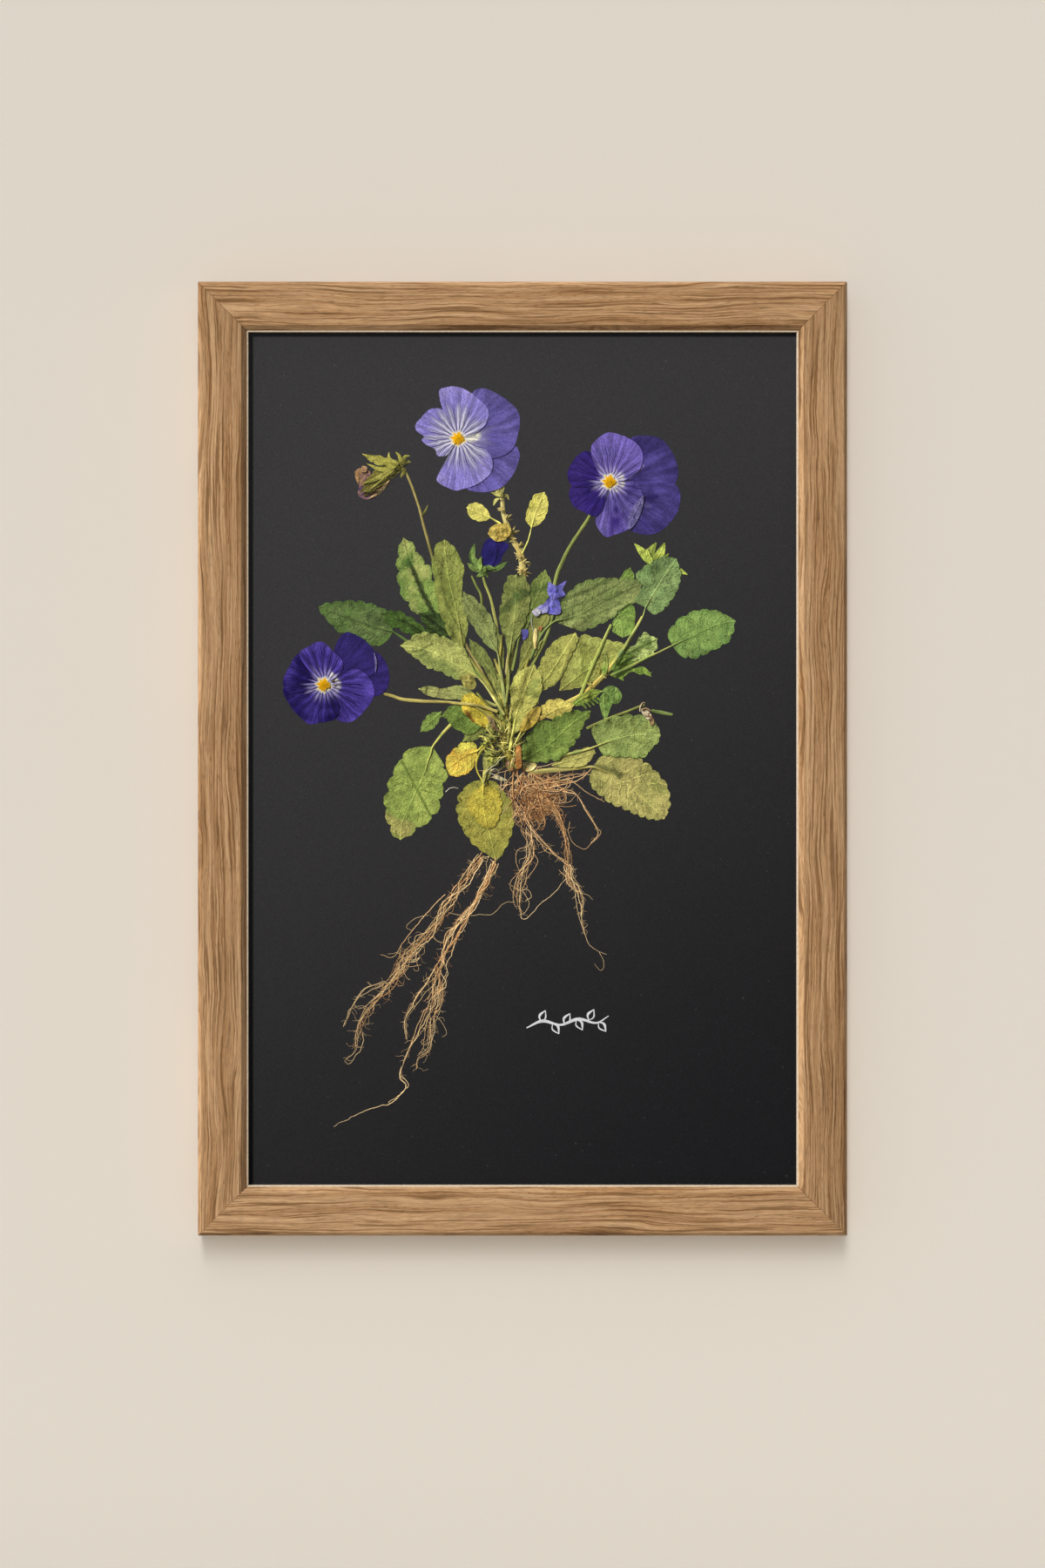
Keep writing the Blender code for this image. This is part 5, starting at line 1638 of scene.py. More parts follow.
def lay_wilted_flower():
    """The spent flower at the left, folded into its drying sepals."""
    wilted = Piece("pressed_flower_wilted", "flower_wilted", slot="leaf_olive")
    olive, drab = tone(174, 168, 74), tone(134, 124, 58)
    mauve, plum, rust = tone(150, 112, 112), tone(62, 50, 98), tone(196, 152, 100)
    scrap(
        wilted, [(-79, 146), (-76, 143), (-77, 137), (-80, 135), (-83, 139), (-83.5, 144)], mauve, rust, 2,
        0.5,
    )
    scrap(
        wilted, [(-82, 136), (-76, 137), (-72, 134), (-73.5, 130.6), (-78, 129.6), (-82, 131.5)], plum,
        mauve, 3, 0.5,
    )
    lance(wilted, [(-68, 142), (-74, 137), (-79, 131.5)], 7.0, drab, rust, 4, curl=0.5, rows=24, columns=11)
    leaf(
        wilted, (-59.5, 145.5), (-81, 133), [(-63, 149.5), (-70, 147.5), (-77, 141)],
        [(-63, 141.5), (-70, 136.5), (-76, 133)], olive, drab, mid=[(-70, 142)], teeth=3, bite=0.5, seed=8,
        curl=0.5, crease=0.4, rows=40, columns=19, show=0.3,
    )
    leaf(
        wilted, (-62, 147.5), (-80, 152.3), [(-67, 150.5), (-73.5, 152)], [(-68, 146), (-75, 147.5)], olive,
        tone(194, 184, 92), mid=[(-71, 149)], teeth=3, bite=0.7, seed=9, curl=0.5, crease=0.4, rows=34,
        columns=15,
    )
    for points, wide in (
        ([(-62, 147), (-66.5, 150), (-66.8, 153.2)], 1.8),
        ([(-61, 147.5), (-61.5, 151), (-63.5, 153.5)], 1.7),
        ([(-60.5, 147), (-58.5, 151), (-56.2, 151.4)], 1.8),
        ([(-60, 146.5), (-57.3, 148.4), (-55.6, 148.2)], 1.6),
        ([(-61, 146), (-64.5, 144), (-66, 140.8)], 2.4), ([(-60, 146), (-59.6, 143), (-61, 140.5)], 1.8),
        ([(-62, 147), (-70, 144.5), (-78, 147.5)], 2.2), ([(-63, 146), (-72, 140.5), (-80, 137)], 2.4),
    ):
        lance(wilted, points, wide, olive, tone(196, 188, 96), seed=int(CHANCE.integers(1, 90)), curl=0.4)
    lance(wilted, [(-66.5, 139), (-71.5, 133.2), (-77, 129.9)], 1.7, tone(226, 196, 142), rust, 5, curl=0.5)
    lance(
        wilted, [(-64, 144.3), (-70.5, 139), (-76.5, 134.2)], 1.2, tone(214, 204, 116), olive, 7, curl=0.4,
    )
    scrap(
        wilted, [(-80, 146.5), (-77.6, 145.6), (-78.4, 143.2), (-81, 143.6)], rust, tone(210, 166, 120), 6,
        0.4, rows=8, columns=22,
    )


def lay_low_layers():
    """The leaves and stems of the lowest layers."""
    stem(
        "stem_of_right_flower",
        [
            (36, 126), (33.5, 121), (23, 104.5), (16.5, 88.5), (15.5, 74), (10.5, 57.5), (2, 41.5),
            (-3, 30.5),
        ],
        [1.8, 1.9, 2.0, 1.8, 1.7], tone(166, 174, 92), tone(136, 146, 76), seed=11,
    )
    blade(
        "leaf_tall_dark", "leaf_green", (-36.5, 62.5), (-59.5, 110.5),
        [(-50, 69), (-58.5, 77.5), (-62, 84.5), (-63.5, 97.5), (-62, 106.5)],
        [(-40, 74), (-43, 86.5), (-46.5, 97.5), (-51, 102), (-55, 108.5)], tone(142, 172, 82),
        tone(186, 192, 108), mid=[(-48.5, 79.5), (-56.5, 98)], petiole=[(-30, 54), (-21, 40)], teeth=6,
        bite=1.4, seed=12, show=0.4, rim=tone(112, 148, 66), rows=90, columns=33,
        marks=[
            ([(-57, 99), (-53, 90), (-48.5, 79.5), (-42, 69), (-36, 60)], 1.5, tone(52, 62, 38), 0.92),
            ([(-55.4, 98), (-50.4, 86), (-45.4, 76)], 0.8, tone(78, 94, 48), 0.85),
            ([(-52, 72), (-45, 66)], 1.0, tone(68, 92, 44), 0.8),
            ([(-55, 76), (-49, 71)], 0.8, tone(206, 208, 130), 0.6),
            ([(-56, 102), (-60, 96)], 3.0, tone(98, 140, 60), 0.6),
            ([(-61, 88), (-60, 80)], 3.4, tone(110, 144, 68), 0.6),
        ],
    )
    blade(
        "leaf_left_high", "leaf_green", (-65, 63.5), (-102, 76),
        [(-66.5, 60.5), (-71, 56.5), (-75, 56), (-81, 60.5), (-90.5, 62), (-97, 68), (-101, 72.5)],
        [(-65.5, 69), (-66.5, 73.5), (-71, 76), (-77, 78.5), (-84, 79.5), (-92.5, 79), (-99, 78)],
        tone(104, 130, 66), tone(124, 144, 84), mid=[(-76, 66.5), (-92, 72)],
        petiole=[(-58, 59), (-50, 53)], teeth=7, bite=1.2, seed=13, show=0.5, rim=tone(90, 124, 56),
        marks=[
            ([(-69, 70), (-72, 68), (-75, 72)], 3.6, tone(80, 98, 54), 0.7),
            ([(-68, 63), (-76, 66.5), (-92, 72)], 1.0, tone(80, 94, 52), 0.5),
        ],
    )
    blade(
        "leaf_orange", "leaf_yellow", (-22.5, 4), (-38, -5.5),
        [(-23.5, 7.5), (-26.5, 9), (-31, 8), (-35.5, 4), (-38.5, 0)],
        [(-23, -0.5), (-26, -6.5), (-32, -9), (-36, -8.5)], tone(252, 234, 100), tone(252, 204, 84),
        mid=[(-28.5, 1.5), (-34, -2.5)], petiole=[(-16, 10.5)], teeth=5, bite=0.7, seed=14, show=0.42,
        rim=tone(240, 182, 70), marks=[([(-25, 8), (-31, 7)], 3.4, tone(252, 248, 110), 0.7)], rows=56,
        columns=23,
    )
    blade(
        "leaf_low_olive", "leaf_olive", (-19.5, -10.5), (-13, -51),
        [
            (-25, -11.5), (-32, -17.5), (-33.5, -24.5), (-32.5, -30.5), (-29, -37.5), (-25, -43),
            (-19.5, -47),
        ],
        [(-13.5, -11.5), (-9.5, -16), (-5, -21), (-4, -27.5), (-4.5, -35.5), (-6.5, -41.5), (-9.5, -47.5)],
        tone(188, 178, 82), tone(166, 164, 78), mid=[(-18.5, -23.5), (-16, -38.5)],
        petiole=[(-18.5, -5), (-12.5, 2)], teeth=8, bite=1.0, seed=15, show=0.6, rim=tone(152, 156, 68),
        marks=[
            ([(-31, -20), (-30.5, -21.5)], 1.0, tone(90, 82, 38), 0.8),
            ([(-26, -33), (-29, -36)], 1.2, tone(104, 102, 44), 0.7),
        ],
    )
    blade(
        "leaf_right_yellow_green", "leaf_light", (6, 33), (26.5, 63), [(6.5, 41.5), (11.5, 54), (18, 60.5)],
        [(13, 35), (18, 38.5), (23.5, 49), (28, 60)], tone(194, 192, 100), tone(176, 176, 90),
        mid=[(13, 41.5), (21.5, 54.5)], petiole=[(0, 24), (-4, 16)], teeth=7, bite=0.6, seed=16, show=0.66,
        rim=tone(162, 166, 82), marks=[([(26, 60), (22, 47), (19, 40)], 1.4, tone(142, 138, 68), 0.6)],
    )
    blade(
        "leaf_low_right", "leaf_olive", (35.5, -4), (71, -30),
        [(39, 1), (47.5, 3), (60, 0), (66, -5), (71.5, -11), (74, -18), (74, -24.5)],
        [(33.5, -9), (34.5, -14.5), (39, -19), (43.5, -22.5), (51.5, -26), (61, -30), (67, -31)],
        tone(208, 196, 116), tone(184, 178, 102), mid=[(47.5, -9.5), (60.5, -20)],
        petiole=[(23.5, -5), (3, -7)], teeth=10, bite=1.1, veins=9, seed=17, show=0.68,
        rim=tone(164, 164, 88), width=2.6, stem=tone(206, 194, 104), rows=96, columns=33,
        marks=[
            ([(35, -4), (42, -5.5), (49, -8)], 2.4, tone(88, 92, 50), 0.8),
            ([(66, -12), (71, -16)], 3.0, tone(162, 166, 86), 0.6),
        ],
    )
    small = Piece("pressed_small_leaves")
    leaf(
        small, (46.5, 72.5), (50, 60.5), [(45, 68.5), (45, 63.5)], [(55, 77.5), (56.3, 67), (54, 62)],
        tone(154, 182, 90), tone(130, 162, 74), mid=[(49.5, 67)], teeth=3, bite=0.5, seed=18, rows=40,
        columns=17,
    )
    leaf(small, (47, 84), (54, 95.5), [(48.5, 90), (51, 94)], [(53.5, 86), (56, 92)], tone(148, 170, 80),
         tone(126, 152, 70), teeth=2, bite=0.4, seed=19, rows=26, columns=13)
    leaf(
        small, (-2, 59), (11.5, 94.5), [(0, 69.5), (2.5, 82.5), (6, 90.5)],
        [(5, 69), (13.5, 80.5), (14.5, 89)], tone(150, 164, 84), tone(126, 142, 70),
        mid=[(4, 74), (9.5, 86)], petiole=[(-5, 44)], teeth=5, bite=0.8, seed=20, rows=60, columns=21,
        marks=[([(-2, 79), (6, 84), (12, 86)], 3.0, tone(98, 118, 58), 0.7)],
    )
    leaf(
        small, (-47.5, 62), (-70.5, 72.5), [(-55, 61), (-62, 64), (-68, 67)],
        [(-51, 68), (-57, 72), (-64, 75)], tone(104, 134, 58), tone(78, 106, 44), mid=[(-58, 68)], teeth=4,
        bite=1.5, seed=21, rows=52, columns=21, show=0.35, crease=0.5,
        marks=[([(-50, 62), (-60, 69)], 1.6, tone(56, 72, 32), 0.8)],
    )
    leaf(
        small, (-36, 62), (-52, 73), [(-42, 60), (-48, 63.5)], [(-37, 68), (-43, 73.5)], tone(84, 108, 52),
        tone(68, 88, 42), mid=[(-44, 68)], teeth=3, bite=0.8, seed=22, rows=40, columns=19, show=0.3,
        crease=0.7,
        marks=[
            ([(-38, 63), (-48, 71)], 1.3, tone(48, 58, 28), 0.8),
            ([(-41, 61), (-49, 67)], 0.9, tone(52, 64, 30), 0.8),
        ],
    )


def lay_second_layers():
    """The leaves and stems that lie over the lowest ones."""
    blade(
        "leaf_tall_light", "leaf_light", (-29.5, 55.5), (-39, 109.5),
        [(-36.5, 61), (-42, 74), (-44.5, 87), (-45.5, 101), (-43.5, 107)],
        [(-27, 68), (-30, 84.5), (-29, 96), (-32, 102.5), (-35.5, 108)], tone(170, 174, 90),
        tone(148, 158, 76), mid=[(-33, 74), (-37.5, 93.5)], petiole=[(-20, 41), (-13, 30)], teeth=5,
        bite=0.9, seed=23, show=0.7, stem=tone(202, 194, 100), rim=tone(136, 152, 68), rows=90,
        marks=[
            ([(-40, 100), (-40.5, 88), (-38, 78), (-31, 64), (-27, 58)], 0.7, tone(110, 114, 56), 0.75),
            ([(-43, 76), (-39, 70), (-33, 60)], 0.8, tone(116, 122, 58), 0.6),
        ],
    )
    blade(
        "leaf_left_long", "leaf_olive", (-22, 30), (-52, 35),
        [(-25, 33.5), (-31.5, 37), (-38.5, 35.5), (-48, 36.5)],
        [(-25.5, 29), (-35, 29.5), (-43.5, 30.5), (-49.5, 32.5)], tone(188, 190, 112), tone(168, 174, 98),
        mid=[(-35, 32.5), (-43.5, 33.5)], petiole=[(-13, 26.5)], teeth=3, bite=0.4, seed=24,
        marks=[
            ([(-47.5, 37), (-48.5, 31)], 0.7, tone(92, 94, 54), 0.8),
            ([(-30, 35), (-20, 31)], 0.9, tone(106, 112, 64), 0.7),
        ],
        rows=56, columns=19,
    )
    blade(
        "leaf_left_low", "leaf_light", (-45, 6), (-61, -40.5),
        [
            (-52, 6), (-58.5, 4), (-64.5, -5), (-68, -13), (-69.5, -18.5), (-69.5, -24), (-67.5, -34),
            (-65, -38.5),
        ],
        [(-41, 0), (-37, -7.5), (-39, -14), (-40.5, -23.5), (-45, -30.5), (-51.5, -35), (-56.5, -39)],
        tone(186, 200, 100), tone(158, 176, 86), mid=[(-48.5, -6), (-55.5, -21.5), (-60, -32)],
        petiole=[(-38.5, 14), (-31, 21.5), (-22, 25)], teeth=6, bite=1.5, seed=25, show=0.6, rows=96,
        columns=33, rim=tone(150, 172, 80), stem=tone(240, 230, 122), width=1.9,
        marks=[
            ([(-60.5, -1), (-45.5, -29)], 0.75, tone(110, 130, 56), 0.85),
            ([(-66, -11), (-41.5, -18)], 0.5, tone(132, 152, 68), 0.75),
            ([(-60, -36), (-66, -32)], 6.0, tone(202, 186, 110), 0.7),
            ([(-46, -12), (-52, -14)], 1.0, tone(140, 156, 74), 0.5),
        ],
    )
    blade(
        "leaf_low_yellow", "leaf_yellow", (-19.5, -12.5), (-17.5, -35),
        [(-22.5, -15), (-27, -19), (-27.5, -24.5), (-24, -30), (-21, -33.5)],
        [(-16, -14), (-13, -15), (-10, -21), (-11, -28.5), (-14, -34)], tone(226, 204, 82),
        tone(200, 186, 76), mid=[(-19.5, -23.5)],
        petiole=[(-22.5, -6.5), (-23, -2), (-20, 4.5), (-13.5, 9)], teeth=6, bite=0.8, seed=26, show=0.62,
        rim=tone(180, 164, 64), width=1.3, stem=tone(210, 202, 90), rows=60, columns=23,
    )
    ribbon = Piece.made["pressed_leaf_low_yellow"]
    lance(
        ribbon, [(-19.2, -13.5), (-17.4, -7), (-17.8, -1), (-18.6, 4.5)], 4.4, tone(158, 160, 88),
        tone(192, 188, 104), 4, rows=26, columns=11, peak=0.6,
    )
    lance(
        ribbon, [(-19.6, -12.5), (-18.6, -7), (-16.2, -2.5)], 1.5, tone(208, 200, 112), tone(170, 168, 90),
        6, rows=20, columns=7,
    )

    shoot = stem("side_shoot", [(60, 71), (52, 57), (40.5, 41.5), (30, 32), (17, 25), (0, 15.5)],
                 [1.4, 1.8, 2.6, 3.0, 3.2], tone(218, 206, 112), tone(230, 196, 98), seed=27)
    stalk(
        shoot, [(44.5, 67), (38, 53), (32, 39), (29, 31.5)], [1.5, 1.7, 1.7], tone(192, 198, 106),
        tone(166, 178, 86), seed=28,
    )
    stalk(shoot, [(24.5, 65.5), (29.5, 70)], [2.4, 2.0], tone(182, 188, 94), tone(154, 168, 78), seed=29)
    for place, heading, teeth in (
        ((40, 42), -0.7, 4), ((38.5, 43), 1.6, 3), ((34.5, 36.5), 2.4, 3), ((31, 33), -1.0, 3),
    ):
        comb(
            shoot, place, heading, teeth, 3.4, tone(222, 198, 102), tone(182, 188, 90),
            seed=int(CHANCE.integers(1, 90)),
        )
    small = Piece.made["pressed_small_leaves"]
    apple, moss = tone(158, 186, 82), tone(128, 158, 68)
    lance(
        small, [(41, 41.5), (41.2, 48), (41.6, 53.5)], 3.0, tone(170, 178, 90), moss, 3, rows=20, columns=9,
    )
    leaf(
        small, (43, 41.5), (64.5, 43), [(47.5, 45.3), (53, 46.3), (58, 45)],
        [(49.5, 40), (54, 43.2), (59, 42)], apple, moss, mid=[(53, 44.5)], teeth=3, bite=0.5, seed=30,
        rows=40, columns=15,
    )
    lance(small, [(46.5, 43), (49, 41), (50.5, 39)], 2.6, apple, moss, 5)
    lance(small, [(56, 44.5), (60, 44.5), (64.5, 41)], 3.0, apple, moss, 6)
    leaf(
        small, (46.5, 49), (67.5, 60), [(50, 53.5), (56, 57.5), (60.5, 63.5)],
        [(52, 48), (59, 49), (67, 53)], tone(214, 230, 136), tone(172, 192, 112), mid=[(57, 55)], teeth=5,
        bite=1.2, seed=31, rows=52, columns=23, crease=0.9, curl=0.5, show=0.35,
        marks=[([(52, 52), (63, 58)], 2.0, tone(98, 124, 52), 0.7)],
    )
    for points, wide in (([(44, 44), (50, 50), (56, 52)], 3.0), ([(45, 43), (53, 47.5), (60, 48)], 2.8),
                         ([(46, 47), (50, 54), (53, 57)], 2.2)):
        lance(
            small, points, wide, apple, tone(98, 126, 60), seed=int(CHANCE.integers(1, 90)), curl=0.5,
            rows=20, columns=9,
        )
    leaf(
        small, (23, 25.5), (40.5, 34), [(28, 31), (34, 34.8)], [(29, 26.8), (35, 29.8)], apple,
        tone(186, 196, 90), mid=[(32, 31)], teeth=2, bite=0.3, seed=32, rows=36, columns=13,
    )
    for k in range(5):
        x, z = 28.5 + k * 2.0, 28.0 + k * 0.7
        lance(
            small, [(x, z), (x + 2.2, z - 1.4), (x + 3.6, z - 3.2 + 0.2 * k)], 1.2, apple, moss, 7 + k,
            rows=10, columns=5,
        )
    jade, fern = tone(156, 184, 96), tone(128, 158, 78)
    leaf(
        small, (40.5, 33), (41.5, 18.5), [(38.5, 30), (39.2, 24)], [(45, 30), (43.5, 24)], jade, fern,
        teeth=0.01, bite=0.0, seed=33, rows=36, columns=13, curl=0.4,
    )
    scrap(
        small,
        [(40, 34.5), (43, 36.4), (47, 35.6), (49.5, 32), (48.8, 28.6), (46, 27.4), (43, 28.6), (41, 31)],
        jade, fern, 9, 0.6,
    )
    stalk(
        small, [(75, 22), (70, 23), (64.5, 24)], [1.5, 2.0, 1.7], tone(146, 164, 90), tone(96, 116, 56),
        seed=34,
    )
    stalk(
        small, [(61, 27), (52, 23.5), (43.5, 20), (32, 15)], [1.1, 1.5, 1.6], tone(158, 164, 86),
        tone(136, 134, 72), seed=35,
    )
    leaf(
        small, (10.5, 21), (26, 27), [(8.5, 25), (13, 29.5), (19.5, 30)], [(17, 19.5), (24, 23)],
        tone(232, 216, 114), tone(212, 194, 98), mid=[(17.5, 25)], teeth=4, bite=0.6, seed=36, rows=44,
        columns=19,
    )
    leaf(
        small, (14.5, -3.5), (36.5, 3), [(21.5, 2.5), (29, 5), (35, 6)], [(22, -4.5), (32, -3)],
        tone(212, 202, 116), tone(190, 184, 102), mid=[(25, -0.5)], teeth=5, bite=0.4, seed=37, rows=44,
        columns=19,
    )
    for base, tip, one, two, main, seed in (
        (
            (-11.5, 30), (-19, 52.5), [(-15.5, 37), (-19.5, 46)], [(-10.5, 37), (-13, 44), (-16.5, 51)],
            tone(170, 172, 94), 38,
        ),
        (
            (-1.5, 46), (13, 74), [(-1, 54.5), (3, 66), (7.5, 72.5)], [(3, 51.5), (8.5, 61), (13.5, 69.5)],
            tone(150, 152, 80), 39,
        ),
        ((-3.5, 41), (10, 59.5), [(-1, 48), (5, 56)], [(1.5, 46), (7.5, 53)], tone(168, 168, 86), 40),
        (
            (-13, 40), (-26.5, 60), [(-20, 45.5), (-26, 53.5)], [(-14.5, 47), (-20, 56)],
            tone(144, 154, 82), 41,
        ),
        (
            (-9.5, 45), (-15, 69), [(-13.5, 53), (-16.5, 62)], [(-9, 54), (-11.5, 63)], tone(158, 166, 90),
            42,
        ),
        ((-14, 24), (-33, 27), [(-20, 27.5), (-27, 29)], [(-20, 22), (-28, 23.5)], tone(154, 158, 84), 43),
        ((-15, 20), (-30, 8.5), [(-22, 19), (-28, 14)], [(-18, 13.5), (-24, 9)], tone(140, 148, 76), 44),
        (
            (-40.5, 23.5), (-51, 13.5), [(-46, 23), (-50.5, 18)], [(-42, 18), (-46, 14)],
            tone(140, 164, 80), 45,
        ),
        (
            (-26, 24.5), (-41, 21), [(-31, 27.5), (-37, 26)], [(-31, 22.5), (-37, 20)], tone(132, 154, 74),
            46,
        ),
        (
            (-20, 16.5), (-37.5, 24), [(-25, 23), (-32, 25.5)], [(-26, 12), (-34, 15), (-37.5, 19)],
            tone(130, 154, 70), 47,
        ),
    ):
        dull = tuple(np.array(main) * 0.78)
        leaf(small, base, tip, one, two, main, dull, teeth=4, bite=0.45, seed=seed, rows=40, columns=15)
    leaf(
        small, (-13, 16), (-29.5, 32), [(-19, 15.5), (-27, 20), (-31, 26)],
        [(-14, 22), (-19, 28.5), (-25, 33)], tone(238, 210, 76), tone(208, 192, 74), mid=[(-22, 24)],
        teeth=4, bite=0.6, seed=48, rows=44, columns=21,
        marks=[
            ([(-27, 21), (-25, 18.5)], 2.4, tone(128, 68, 32), 0.85),
            ([(-28, 24), (-27, 22)], 1.2, tone(136, 80, 38), 0.8),
        ],
    )


CROWN_BITS = 130
CROWN_FIBRES = 46
CROWN_TEETH = 26


def lay_crown():
    """The short yellow stem that every leaf leaves from."""
    crown = stem(
        "crown_stem", [(-8.5, 40), (-9.5, 25), (-8, 12), (-7, 1.5), (-3, -5)], [2.6, 4.2, 5.2, 4.6, 3.4],
        tone(228, 206, 92), tone(186, 172, 80), seed=50, deep=1.3,
    )
    ochre, dusk = tone(208, 192, 96), tone(136, 132, 62)
    for x0, z0, x1, z1 in (
        (-9, 26, -14, 50), (-9, 22, -20, 43), (-8, 18, -23, 33), (-8, 14, -20, 24), (-8, 10, -17, 14),
        (-7, 8, -15, 5), (-8, 28, -5, 58), (-6, 24, 1, 44), (-6, 20, 5, 37), (-5, 16, 8, 28),
        (-5, 12, 8, 18), (-9, 30, -10, 62), (-6, 22, 3, 50), (-9, 16, -26, 27), (-7, 6, -18, -1),
    ):
        middle = ((x0 + x1) / 2 + CHANCE.normal(0, 0.8), (z0 + z1) / 2 + CHANCE.normal(0, 0.8))
        shade = CHANCE.uniform(0, 1)
        colour = tuple(np.array(ochre) * shade + np.array(tone(158, 168, 82)) * (1 - shade))
        stalk(
            crown, [(x1, z1), middle, (x0, z0)], [1.1, 1.4, 1.7], colour, dusk, deep=0.55,
            seed=int(CHANCE.integers(1, 90)),
        )
    scrap(
        crown, [(-3.6, 6.5), (-1.4, 6.2), (-1.0, 0), (-1.6, -5), (-4, -5), (-4.4, 0)], tone(216, 156, 88),
        tone(184, 118, 62), 4, 0.5,
    )
    scrap(
        crown, [(-6, -2), (-4, 1), (-5, -6), (-8, -5), (-8.5, 0)], tone(220, 178, 136), tone(178, 128, 88),
        5, 0.6,
    )
    scrap(
        crown, [(0, -2.2), (4, -1.2), (7, -2.6), (5.5, -5.4), (1.5, -6.2)], tone(250, 248, 176),
        tone(228, 208, 130), 6, 0.4,
    )
    scrap(
        crown, [(-17, 1), (-12.5, 2.5), (-12, -2.5), (-16, -4)], tone(216, 212, 100), tone(166, 176, 80), 7,
        0.4,
    )
    tangle_colours = (
        tone(206, 200, 106), tone(162, 168, 84), tone(130, 142, 68), tone(196, 182, 88), tone(104, 112, 54),
    )
    for k in range(CROWN_BITS):
        angle = CHANCE.uniform(0, math.tau)
        reach = CHANCE.uniform(0.5, 1.0)
        x = -8 + math.cos(angle) * 9.5 * reach + CHANCE.normal(0, 1.0)
        z = 7.5 + math.sin(angle) * 10 * reach + CHANCE.normal(0, 1.0)
        heading = math.atan2(z - 2, x + 7) + CHANCE.normal(0, 0.7)
        long = CHANCE.uniform(2.5, 7.5)
        bend = heading + CHANCE.normal(0, 0.6)
        half = (x + math.cos(heading) * long / 2, z + math.sin(heading) * long / 2)
        end = (half[0] + math.cos(bend) * long / 2, half[1] + math.sin(bend) * long / 2)
        wide = CHANCE.uniform(0.9, 1.9) if k % 4 == 0 else CHANCE.uniform(0.35, 0.7)
        lance(crown, [(x, z), half, end], wide, tangle_colours[k % 5], tangle_colours[(k + 2) % 5],
              seed=k, rows=9, columns=5, curl=0.35)
    for k in range(CROWN_FIBRES):
        start = (-7.5 + CHANCE.normal(0, 3.5), CHANCE.uniform(-1, 16))
        heading = math.atan2(start[1] - 0, start[0] + 7) + CHANCE.normal(0, 1.3)
        path = wander(start, heading, CHANCE.uniform(4, 10), 0.1, step=0.7)
        shade = tuple(np.array(tone(226, 214, 124)) * CHANCE.uniform(0.35, 1.0))
        fibre(crown, path, [0.15, 0.13, 0.08], shade, 0.1, sides=4, finish="leaf")
    for points, wide in (
        ([(-18.2, 15.5), (-13.5, 9.5), (-9, 3.2)], 0.8), ([(2, 14), (-3, 8.5), (-6, 5)], 0.7),
        ([(6.5, 26), (2, 18.5), (-3.5, 8)], 0.9), ([(-4.5, 33), (-6, 22), (-7.2, 9)], 1.2),
    ):
        stalk(
            crown, points, [wide, wide], tone(226, 214, 118), tone(186, 184, 92), deep=0.4,
            seed=int(CHANCE.integers(1, 90)),
        )
    for k in range(CROWN_TEETH):
        z = CHANCE.uniform(18, 40)
        heading = CHANCE.choice((0.9, 2.3)) + CHANCE.normal(0, 0.35)
        x = -8.5 + math.cos(heading) * 2.2
        end = (x + math.cos(heading) * 4.5, z + math.sin(heading) * 5.5)
        lance(
            crown, [(x, z), end], CHANCE.uniform(0.5, 1.1), tangle_colours[k % 4], tangle_colours[4],
            seed=k, rows=9, columns=5,
        )


